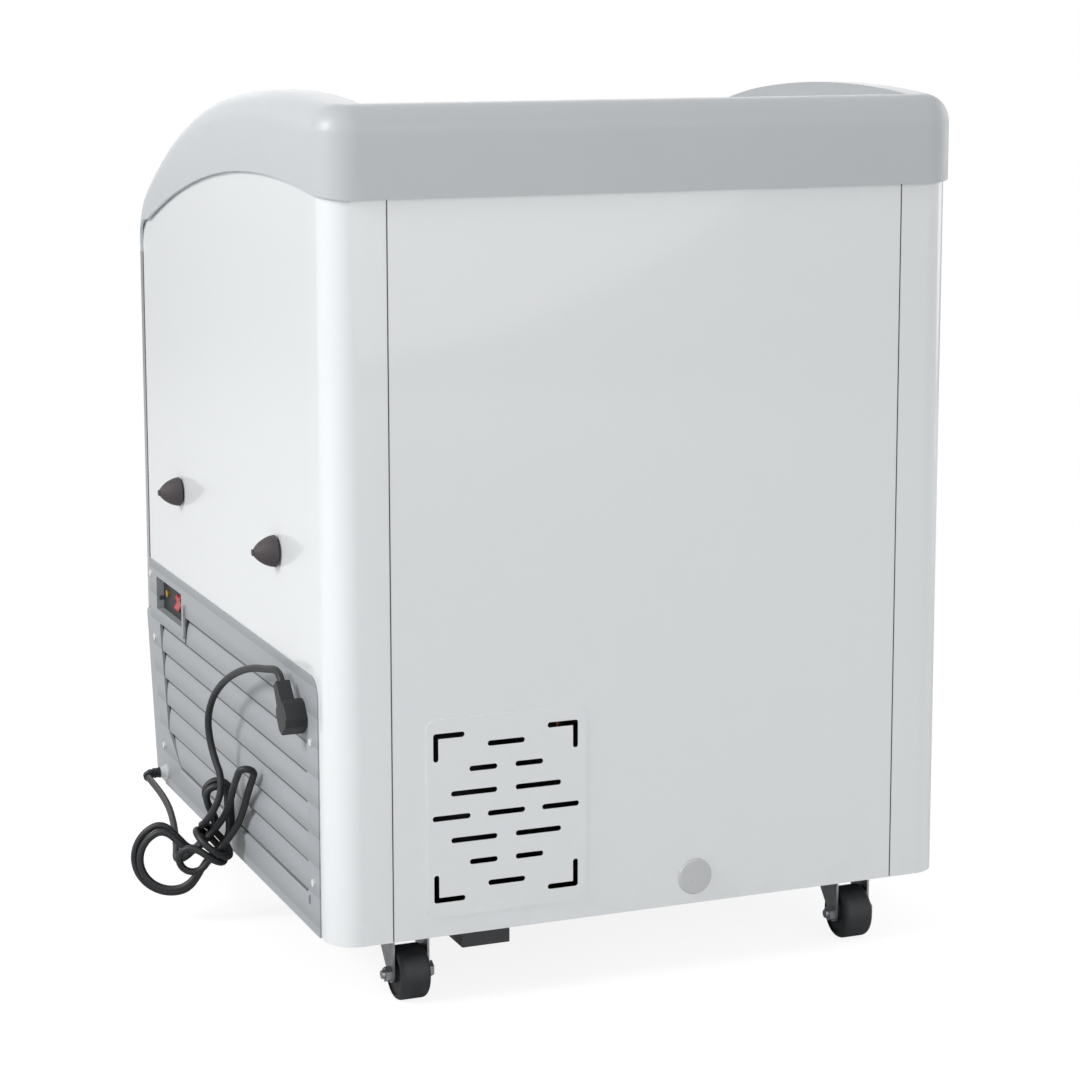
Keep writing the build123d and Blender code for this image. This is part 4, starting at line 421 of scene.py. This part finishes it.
def stovePaint(s):
    # Semi-matt black paint on pressed steel.
    m = Finish("stovePaint")
    peel = m.noise(s["peel"], detail=2.0)
    chips = m.noise(s["chips"], detail=5.0, rough=0.7).above(s["chipLevel"], s["chipEdge"])
    return m.show({
        "Base Color": m.blend(chips * s["chipShare"], tone(s["color"]), tone(s["bare"])),
        "Roughness": s["roughness"] + peel * s["spread"], "Coat Weight": s["coat"],
        "Normal": m.bump(peel, s["depth"]),
    })


linerSettings = {
    "pebble": 150.0, "cloud": 6.0, "light": (0.80, 0.81, 0.82), "dark": (0.72, 0.735, 0.75),
    "metal": 0.75, "roughness": 0.34, "spread": 0.1, "depth": 0.0006,
}


def embossedLiner(s):
    # Stucco-embossed aluminium of the tank.
    m = Finish("embossedLiner")
    cloud = m.noise(s["cloud"], detail=2.0)
    return m.show({
        "Base Color": m.blend(cloud, tone(s["light"]), tone(s["dark"])), "Metallic": s["metal"],
        "Roughness": s["roughness"] + cloud * s["spread"],
        "Normal": m.bump(m.cells(s["pebble"], "SMOOTH_F1"), s["depth"]),
    })


foamSettings = {
    "cell": 900.0, "voids": 70.0, "voidLevel": 0.70, "voidEdge": 0.08, "voidDepth": 0.4,
    "color": (0.80, 0.70, 0.44), "voidColor": (0.60, 0.48, 0.26), "roughness": 0.8,
    "spread": 0.1, "depth": 0.0003,
}


def rigidFoam(s):
    # Cream polyurethane foam, with fine cells and a few larger voids.
    m = Finish("rigidFoam")
    cell = m.cells(s["cell"])
    voids = m.noise(s["voids"], detail=3.0).above(s["voidLevel"], s["voidEdge"])
    return m.show({
        "Base Color": m.blend(voids, tone(s["color"]), tone(s["voidColor"])),
        "Roughness": s["roughness"] + cell * s["spread"],
        "Normal": m.bump(cell + voids * s["voidDepth"], s["depth"]),
    })


glassSettings = {
    "color": (0.93, 0.975, 0.97), "marks": 45.0, "markLevel": 0.66, "markEdge": 0.15,
    "markRough": 0.05, "roughness": 0.015, "index": 1.5,
}


def lidGlass(s):
    # Clear toughened glass; only its roughness varies, where fingers have been.
    m = Finish("lidGlass")
    marks = m.noise(s["marks"], detail=4.0, rough=0.6).above(s["markLevel"], s["markEdge"])
    return m.show({
        "Base Color": tone(s["color"]), "Roughness": marks * s["markRough"] + s["roughness"],
        "Transmission Weight": 1.0, "IOR": s["index"],
    })


wireSettings = {
    "lump": 240.0, "light": (0.80, 0.81, 0.82), "dark": (0.74, 0.755, 0.77),
    "roughness": 0.30, "spread": 0.1, "coat": 0.2, "depth": 0.0001,
}


def coatedWire(s):
    # White polyethylene coat on wire, a little lumpy.
    m = Finish("coatedWire")
    lump = m.noise(s["lump"], detail=2.0)
    return m.show({
        "Base Color": m.blend(lump, tone(s["light"]), tone(s["dark"])),
        "Roughness": s["roughness"] + lump * s["spread"], "Coat Weight": s["coat"],
        "Normal": m.bump(lump, s["depth"]),
    })


finishes = {
    "white_sheet": whitePaint("whitePaint", paintSettings),
    "galvanised_sheet": galvanised(galvanisedSettings),
    "black_sheet": stovePaint(stoveSettings),
    "liner_aluminium": embossedLiner(linerSettings),
    "foam": rigidFoam(foamSettings),
    "lid_glass": lidGlass(glassSettings),
    "coated_wire": coatedWire(wireSettings),
}
families = (
    (mouldedPlastic, plasticSettings, {
        "frame_plastic": "framePlastic", "grille_plastic": "grillePlastic",
        "black_plastic": "blackPlastic", "red_plastic": "redPlastic",
        "gland_nylon": "glandNylon", "port_cap": "capPlastic", "lamp_lens": "lampLens",
    }),
    (rubber, rubberSettings, {
        "cord_jacket": "cordJacket", "wheel_rubber": "wheelRubber", "dark_rubber": "darkRubber",
    }),
    (worked, metalSettings, {
        "zinc_plate": "zincPlate", "brass_plate": "brassPlate", "copper": "copper",
        "fin_aluminium": "finAluminium", "motor_steel": "motorSteel",
    }),
)
for make, settings, names in families:
    for slot, name in names.items():
        finishes[slot] = make(name, settings[name])
for part in frame["record"]["subparts"]:
    node = frame["nodes"][part["node"]]
    for place in node.material_slots:
        place.material = finishes[part["material_slot"]]
# Three pieces have a finish of their own.
closer = {
    "side_grille": louvrePlastic(plasticSettings["grillePlastic"], louvreSettings),
    "front_panel": whitePaint("edgedPaint", paintSettings, grayEnds=True),
    "grille_screws": worked("brightZinc", metalSettings["brightZinc"]),
}
for name, finish in closer.items():
    for place in frame["nodes"][name].material_slots:
        place.material = finish
print("stage: finishes made,", len(finishes))


# Smooth shading for the carried-over pieces.
edgeSettings = {"turn": math.radians(24), "weld": 0.00001}


def softEdges(s):
    # Faces are smooth wherever the edge between them turns less than the angle.
    tree = bpy.data.node_groups.new("softEdges", "GeometryNodeTree")
    tree.interface.new_socket("Geometry", in_out="INPUT", socket_type="NodeSocketGeometry")
    angle = tree.interface.new_socket("Angle", in_out="INPUT", socket_type="NodeSocketFloat")
    angle.default_value = s["turn"]
    tree.interface.new_socket("Geometry", in_out="OUTPUT", socket_type="NodeSocketGeometry")
    g = Sheet(tree)
    given = g.node("NodeGroupInput")
    turn = g.node("GeometryNodeInputMeshEdgeAngle")
    gentle = g.node(
        "FunctionNodeCompare",
        {"data_type": "FLOAT", "operation": "LESS_EQUAL"},
        {0: g.out(turn, 0), 1: g.out(given, "Angle")},
    )
    faces = g.smooth(g.out(given, 0), True, "FACE")
    g.node("NodeGroupOutput", {}, {0: g.smooth(faces, g.out(gentle), "EDGE")})
    return tree


edgeRule = softEdges(edgeSettings)
for node in frame["nodes"].values():
    weld = node.modifiers.new("weld", "WELD")
    weld.merge_threshold = edgeSettings["weld"]
    smooth = node.modifiers.new("softEdges", "NODES")
    smooth.node_group = edgeRule


# The cord, one spline from the gland through the knotted hank to the plug. Sizes are in mm.
bodyMiddle = Vector((-9.5, -2.5, 0))
cordSettings = {
    "radius": 3.5,
    "lead": (
        (318.9, -246.5, 81.6), (334.4, -246.5, 81.6), (334.8, -222.0, 81.0), (335.5, -178.0, 79.5),
        (339.0, -132.0, 78.0), (345.0, -92.0, 75.0), (352.0, -56.0, 70.0), (358.5, -28.0, 64.0),
    ),
    "turnWay": (0.2, 0.96, -0.2),
    "turnRun": 13.0,
    "turnSteps": 3,
    "plugRun": 14.0,
    "plugLead": (
        (338.5, 33.0, 188.0), (340.5, 33.0, 210.0), (339.0, 44.0, 232.0), (336.5, 64.0, 249.5),
        (334.0, 92.0, 265.5), (331.5, 124.0, 278.5), (329.0, 156.0, 288.0), (326.0, 188.0, 293.5),
    ),
    "entry": (323.5, 227.6, 289.8),
    "entryRun": 13.0,
    "plugTilt": math.radians(54),
    "length": 1.99,
    "steps": 6,
    "sides": 5,
}
hankSettings = {
    "waist": (339.0, 30.0, 82.0), "heading": math.radians(158), "lean": math.radians(47),
    "gap": 8.0, "half": 12.0, "step": 7.9, "passes": 6,
    "loops": ((82.0, 64.0, 13.0), (199.0, 79.0, 36.0), (82.0, 60.0, 10.5), (199.0, 72.0, 30.5)),
    "longWay": (46.0, 97.0, 71.0), "longReach": 128.0, "longHalf": 7.5,
    "ring": (-18.0, 5.0), "ringRadius": 13.5, "ringClimb": (1.0, 4.0, 8.0),
    "wrapRadius": 20.6, "wrapPitch": 7.7, "wrapQuarters": 7,
    "exit": (13.0, 76.0, 16.0), "exitWay": (-0.39, 0.8, -0.45), "pointsPerStretch": 4,
    "swell": 0.55,
}


def hankKnots(h):
    # Places and headings along the hank: passes through the waist, open loops, ring and wrap.
    across = Vector((math.cos(h["heading"]), math.sin(h["heading"]), 0))
    upward = Vector((0, 0, 1))
    outward = Vector((math.sin(h["heading"]), -math.cos(h["heading"]), 0))
    along = across * math.cos(h["lean"]) + upward * math.sin(h["lean"])
    beside = upward * math.cos(h["lean"]) - across * math.sin(h["lean"])
    middle = bodyMiddle + Vector(h["waist"])
    firstDepth = -(h["passes"] - 1) * h["step"] / 4
    knots = []

    def knot(place, way):
        knots.append((middle + place, way.normalized()))

    def inHank(parts):
        return across * parts[0] + upward * parts[1] + outward * parts[2]

    def onePass(index):
        side = 1 if index % 2 == 0 else -1
        depth = outward * (firstDepth + index * h["step"] / 2)
        knot(depth + (beside * h["gap"] - along * h["half"]) * side, along * side)
        knot(depth + (beside * h["gap"] + along * h["half"]) * side, along * side)

    def loop(way, wide, reach, half, shift):
        knot(shift + way * (reach - half) - wide * half, way)
        knot(shift + way * reach, wide)
        knot(shift + way * (reach - half) + wide * half, -way)

    onePass(0)
    for index, (turn, reach, half) in enumerate(h["loops"]):
        c, s = math.cos(math.radians(turn)), math.sin(math.radians(turn))
        shift = outward * (firstDepth + (index / 2 + 0.25) * h["step"])
        loop(across * c + upward * s, across * s - upward * c, reach, half, shift)
        onePass(index + 1)
    way = inHank(h["longWay"]).normalized()
    wide = (across - way * across.dot(way)).normalized()
    loop(way, wide, h["longReach"], h["longHalf"], Vector())
    onePass(h["passes"] - 1)
    ringAlong, ringBeside = h["ring"]
    r = h["ringRadius"]
    center = along * ringAlong + beside * ringBeside
    center += outward * (firstDepth + (h["passes"] - 1) * h["step"] / 2)
    knot(center - beside * r + outward * h["ringClimb"][0], -along)
    knot(center - along * r + outward * h["ringClimb"][1], beside)
    knot(center + beside * r + outward * h["ringClimb"][2], along)
    for quarter in range(h["wrapQuarters"] + 1):
        phase = (quarter + 1) * math.pi / 2
        place = along * (ringAlong + r + h["wrapPitch"] * quarter / 4)
        place += (beside * math.cos(phase) + outward * math.sin(phase)) * h["wrapRadius"]
        pace = along * (h["wrapPitch"] / (2 * math.pi))
        pace += (outward * math.cos(phase) - beside * math.sin(phase)) * h["wrapRadius"]
        knot(place, pace)
    knot(inHank(h["exit"]), inHank(h["exitWay"]))
    return knots


def flow(knots, count, swell):
    # Points on a smooth curve through the knots, at their headings; sharp turns swell outwards.
    points = []
    for (start, startWay), (end, endWay) in zip(knots, knots[1:]):
        turn = startWay.angle(endWay)
        chord = (end - start).length
        pull = chord * (1 + (turn / math.pi) ** 2 * swell)
        for index in range(count):
            t = index / count
            points.append(
                start * (2 * t**3 - 3 * t**2 + 1)
                + startWay * pull * (t**3 - 2 * t**2 + t)
                + end * (3 * t**2 - 2 * t**3)
                + endWay * pull * (t**3 - t**2)
            )
    return points + [knots[-1][0]]


def makeCord(c, h):
    knots = hankKnots(h)
    start, startWay = knots[0]
    end, endWay = knots[-1]
    first = Vector(c["turnWay"]).normalized()
    total = first.angle(startWay)
    bend = []
    place = start
    for step in range(c["turnSteps"]):
        rest = step * total / c["turnSteps"]
        way = (first * math.sin(rest) + startWay * math.sin(total - rest)) / math.sin(total)
        place = place - way * c["turnRun"]
        bend.insert(0, place)
    plugWay = Vector((0, math.cos(c["plugTilt"]), -math.sin(c["plugTilt"])))
    entry = bodyMiddle + Vector(c["entry"])
    points = [bodyMiddle + Vector(p) for p in c["lead"]] + bend
    points += flow(knots, h["pointsPerStretch"], h["swell"])
    points.append(end + endWay * c["plugRun"])
    points += [bodyMiddle + Vector(p) for p in c["plugLead"]]
    points += [entry - plugWay * c["entryRun"], entry]
    data = bpy.data.curves.new("mainsCord", "CURVE")
    data.dimensions = "3D"
    data.resolution_u = c["steps"]
    data.bevel_depth = c["radius"] * mm
    data.bevel_resolution = c["sides"]
    data.use_fill_caps = True
    spline = data.splines.new("NURBS")
    spline.points.add(len(points) - 1)
    for point, place in zip(spline.points, points):
        point.co = (*(place * mm), 1)
    spline.order_u = 3  # each span bends about one point, which the strain relief counts on
    spline.use_endpoint_u = True
    data.materials.append(finishes["cord_jacket"])
    cord = bpy.data.objects.new("mainsCord", data)
    bpy.context.scene.collection.objects.link(cord)
    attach(cord, "cabinet")
    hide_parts("mains_lead", "cord_hank", "plug_lead")
    return cord, points


mainsCord, cordPoints = makeCord(cordSettings, hankSettings)
print("stage: cord laid,", len(cordPoints), "points")


# Pieces made by node trees.
def newTree(name, sockets):
    # A node tree for a mesh, with named inputs; gives its sheet and its input node.
    tree = bpy.data.node_groups.new(name, "GeometryNodeTree")
    for key, kind in sockets.items():
        tree.interface.new_socket(key, in_out="INPUT", socket_type="NodeSocket" + kind)
    tree.interface.new_socket("Geometry", in_out="OUTPUT", socket_type="NodeSocketGeometry")
    g = Sheet(tree)
    return g, g.node("NodeGroupInput")


def meshFrom(tree, name, values, body, slot):
    # Runs a node tree on an empty mesh and keeps the plain result.
    holder = bpy.data.objects.new(name + "Maker", bpy.data.meshes.new(name + "Maker"))
    bpy.context.scene.collection.objects.link(holder)
    modifier = holder.modifiers.new("make", "NODES")
    modifier.node_group = tree
    sockets = {i.name: i.identifier for i in tree.interface.items_tree if i.in_out == "INPUT"}
    for key, value in values.items():
        modifier[sockets[key]] = value
    bpy.context.view_layer.update()
    seen = holder.evaluated_get(bpy.context.evaluated_depsgraph_get())
    mesh = bpy.data.meshes.new_from_object(seen)
    holder.modifiers.remove(modifier)
    bpy.data.objects.remove(holder)
    return keep(mesh, name, body, slot)


def keep(mesh, name, body, slot):
    mesh.name = name
    if not mesh.materials:
        mesh.materials.append(finishes[slot])
    piece = bpy.data.objects.new(name, mesh)
    bpy.context.scene.collection.objects.link(piece)
    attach(piece, body)
    return piece


# The strain relief on the first bend of the cord, in mm.
reliefSettings = {
    "firstRadius": 5.4, "lastRadius": 4.1, "rings": 5, "wire": 0.55,
    "bendSteps": 32, "sides": 40, "wireSides": 10,
}


def reliefTree(s, slot):
    # A tapering sleeve with rounded rings along a bend given by three points.
    g, given = newTree("strainRelief", {
        "Start": "Vector", "Corner": "Vector", "End": "Vector",
        "First Radius": "Float", "Last Radius": "Float", "Rings": "Int", "Wire": "Float",
    })
    first = g.out(given, "First Radius")
    shrink = g.out(given, "Last Radius") - first
    bend = g.out(g.node(
        "GeometryNodeCurveQuadraticBezier", {},
        {"Resolution": s["bendSteps"], "Start": g.out(given, "Start"),
         "Middle": g.out(given, "Corner"), "End": g.out(given, "End")},
    ))

    def circle(sides, radius):
        inputs = {"Resolution": sides, "Radius": radius}
        return g.out(g.node("GeometryNodeCurvePrimitiveCircle", {}, inputs))

    share = g.out(g.node("GeometryNodeSplineParameter"), "Factor")
    sleeve = g.node(
        "GeometryNodeCurveToMesh", {},
        {"Curve": bend, "Profile Curve": circle(s["sides"], 1.0), "Scale": first + share * shrink,
         "Fill Caps": True},
    )
    count = g.out(given, "Rings")
    spots = g.node("GeometryNodeCurveToPoints", {"mode": "COUNT"}, {0: bend, 1: count})
    place = g.out(g.node("GeometryNodeInputIndex")) / (count - 1)
    rings = g.node(
        "GeometryNodeInstanceOnPoints", {},
        {"Points": g.out(spots, "Points"), "Instance": circle(s["sides"], 1.0),
         "Rotation": g.out(spots, "Rotation"), "Scale": first + place * shrink},
    )
    real = g.node("GeometryNodeRealizeInstances", {}, {0: g.out(rings)})
    ridges = g.node(
        "GeometryNodeCurveToMesh", {},
        {"Curve": g.out(real), "Profile Curve": circle(s["wireSides"], g.out(given, "Wire"))},
    )
    both = g.node("GeometryNodeJoinGeometry")
    for part in (sleeve, ridges):
        g.tree.links.new(part.outputs[0], both.inputs[0])
    g.finish(g.out(both), slot)
    return g.tree


def strainRelief(s, points):
    # The cord's first span runs from its first point to the middle of the next two.
    return meshFrom(
        reliefTree(s, "cord_jacket"),
        "strainRelief",
        {"Start": points[0] * mm, "Corner": points[1] * mm,
         "End": (points[1] + points[2]) / 2 * mm,
         "First Radius": s["firstRadius"] * mm, "Last Radius": s["lastRadius"] * mm,
         "Rings": s["rings"], "Wire": s["wire"] * mm},
        "cabinet",
        "cord_jacket",
    )


sleeve = strainRelief(reliefSettings, cordPoints)
tuple(cordPoints[0] * mm)


# Painted shade in the long seams of the body: dark boxes where the gaps are, from corner to
# corner, in mm.
seamShadeSettings = {
    "bars": (
        ("rearSeamRight", (242.4, 323.6, 67.0), (243.5, 324.65, 738.0)),
        ("rearSeamLeft", (-262.5, 323.6, 67.0), (-261.4, 324.65, 738.0)),
        ("frontSeamRight", (298.0, -311.0, 251.0), (299.15, -307.3, 640.0)),
        ("frontSeamLeft", (-318.15, -311.0, 251.0), (-317.0, -307.3, 640.0)),
    ),
}


def seamShadeBar(name, low, high):
    shape = bmesh.new()
    bmesh.ops.create_cube(shape, size=1.0)
    size = Vector(high) - Vector(low)
    middle = (Vector(high) + Vector(low)) / 2
    for corner in shape.verts:
        corner.co = Vector(a * b + c for a, b, c in zip(corner.co, size, middle)) * mm
    mesh = bpy.data.meshes.new(name)
    shape.to_mesh(mesh)
    shape.free()
    # The dark finish paints the shade in the seam's gap.
    return keep(mesh, name, "cabinet", "dark_rubber")


for bar in seamShadeSettings["bars"]:
    seamShadeBar(*bar)


# The screws under the castor plates, by one node tree, in mm.
screwSettings = {
    "plates": ((-236.5, 272.5), (217.5, 272.5), (-236.5, -251.5), (217.5, -251.5)),
    "spacing": (42.0, 36.0), "level": 63.5, "head": 3.6, "rise": 1.6, "sides": 20, "rings": 10,
}


def screwTree(s, slot):
    # Pan heads in a grid of two by two about a middle, hanging from a level.
    g, given = newTree("plateScrews", {
        "Middle": "Vector", "Spacing X": "Float", "Spacing Y": "Float", "Head": "Float",
        "Rise": "Float",
    })

    def moved(mesh, key, value):
        made = g.node("GeometryNodeTransform", {}, {"Geometry": g.out(mesh), key: value})
        return g.out(made)

    grid = g.node(
        "GeometryNodeMeshGrid", {},
        {"Size X": g.out(given, "Spacing X"), "Size Y": g.out(given, "Spacing Y"),
         "Vertices X": 2, "Vertices Y": 2},
    )
    radius = g.out(given, "Head")
    head = g.node(
        "GeometryNodeMeshUVSphere", {},
        {"Segments": s["sides"], "Rings": s["rings"], "Radius": radius},
    )
    squeeze = g.node(
        "ShaderNodeCombineXYZ", {}, {0: 1.0, 1: 1.0, 2: g.out(given, "Rise") / radius}
    )
    placed = g.node(
        "GeometryNodeInstanceOnPoints", {},
        {"Points": moved(grid, "Translation", g.out(given, "Middle")),
         "Instance": moved(head, "Scale", g.out(squeeze))},
    )
    real = g.node("GeometryNodeRealizeInstances", {}, {0: g.out(placed)})
    g.finish(g.out(real), slot)
    return g.tree


def plateScrews(s):
    tree = screwTree(s, "zinc_plate")
    for index, (x, y) in enumerate(s["plates"]):
        meshFrom(
            tree,
            f"plateScrews{index + 1}",
            {"Middle": (x * mm, y * mm, s["level"] * mm), "Spacing X": s["spacing"][0] * mm,
             "Spacing Y": s["spacing"][1] * mm, "Head": s["head"] * mm, "Rise": s["rise"] * mm},
            "cabinet",
            "zinc_plate",
        )


plateScrews(screwSettings)
print("stage: small pieces made")


# Floor, backdrop and light.
stageSettings = {
    "floorSize": 30.0, "floorGlow": 0.87, "floorColor": 0.24, "grain": 60.0, "grainShare": 0.02,
    "bounce": 0.80, "roomLevel": 0.42, "fadeMiddle": 1.1, "fadeWidth": 0.9,
}
white = (1, 1, 1)


def makeFloor(s):
    # Seen directly, the floor is lit paper that fades to plain white far from the object.
    mesh = bpy.data.meshes.new("floor")
    half = s["floorSize"] / 2
    corners = [(-half, -half, 0), (half, -half, 0), (half, half, 0), (-half, half, 0)]
    mesh.from_pydata(corners, [], [(0, 1, 2, 3)])
    floor = bpy.data.objects.new("floor", mesh)
    bpy.context.scene.collection.objects.link(floor)
    m = Finish("floorPaper")

    def glow(strength):
        made = m.node("ShaderNodeEmission", {}, {"Color": tone(white), "Strength": strength})
        return m.out(made)

    def matt(color):
        return m.out(m.node("ShaderNodeBsdfDiffuse", {}, {"Color": color}))

    def mixed(share, first, second):
        return m.out(m.node("ShaderNodeMixShader", {}, {0: share, 1: first, 2: second}))

    level = s["floorColor"]
    grain = m.noise(s["grain"], detail=2.0)
    paper = m.blend(grain, tone(white, level), tone(white, level * (1 - s["grainShare"])))
    near = m.out(m.node("ShaderNodeAddShader", {}, {0: glow(s["floorGlow"]), 1: matt(paper)}))
    away = m.out(m.node("ShaderNodeVectorMath", {"operation": "LENGTH"}, {0: m.place}), "Value")
    lit = mixed(away.above(s["fadeMiddle"], s["fadeWidth"]), near, glow(1.0))
    seen = m.out(m.node("ShaderNodeLightPath"), "Is Camera Ray")
    both = mixed(seen, matt(tone(white, s["bounce"])), lit)
    m.node("ShaderNodeOutputMaterial", {}, {"Surface": both})
    mesh.materials.append(m.material)


def makeRoom(s):
    # Plain white where it is seen, mirrored or looked at through glass; dimmer as a lamp.
    world = bpy.data.worlds.new("room")
    world.use_nodes = True
    world.node_tree.nodes.clear()
    bpy.context.scene.world = world
    w = Sheet(world.node_tree)
    path = w.node("ShaderNodeLightPath")
    shown = w.out(path, "Is Camera Ray")
    for ray in ("Is Glossy Ray", "Is Transmission Ray"):
        shown = shown.join("MAXIMUM", shown, w.out(path, ray))
    level = shown * (1 - s["roomLevel"]) + s["roomLevel"]
    back = w.node("ShaderNodeBackground", {}, {"Color": tone(white), "Strength": level})
    w.node("ShaderNodeOutputWorld", {}, {"Surface": w.out(back)})


lampSettings = {
    "key": {"place": (3.4, 0.55, 2.4), "aim": (0.25, 0, 0.4), "size": 1.4, "power": 92.0},
    "fill": {"place": (-0.8, 3.8, 1.5), "aim": (0, 0.3, 0.4), "size": 3.0, "power": 30.0},
    "front": {"place": (-1.1, -3.4, 1.5), "aim": (0, -0.3, 0.4), "size": 3.0, "power": 26.0},
    "left": {"place": (-3.5, -0.4, 1.3), "aim": (-0.3, 0, 0.4), "size": 2.6, "power": 22.0},
}


def makeLamps(lamps):
    for name, s in lamps.items():
        data = bpy.data.lights.new(name, "AREA")
        data.shape = "DISK"
        data.size = s["size"]
        data.energy = s["power"]
        lamp = bpy.data.objects.new(name, data)
        place = Vector(s["place"])
        turn = (place - Vector(s["aim"])).to_track_quat("Z", "Y").to_matrix().to_4x4()
        lamp.matrix_world = Matrix.Translation(place) @ turn
        bpy.context.scene.collection.objects.link(lamp)


makeFloor(stageSettings)
makeRoom(stageSettings)
makeLamps(lampSettings)
print("stage: floor and lamps set")
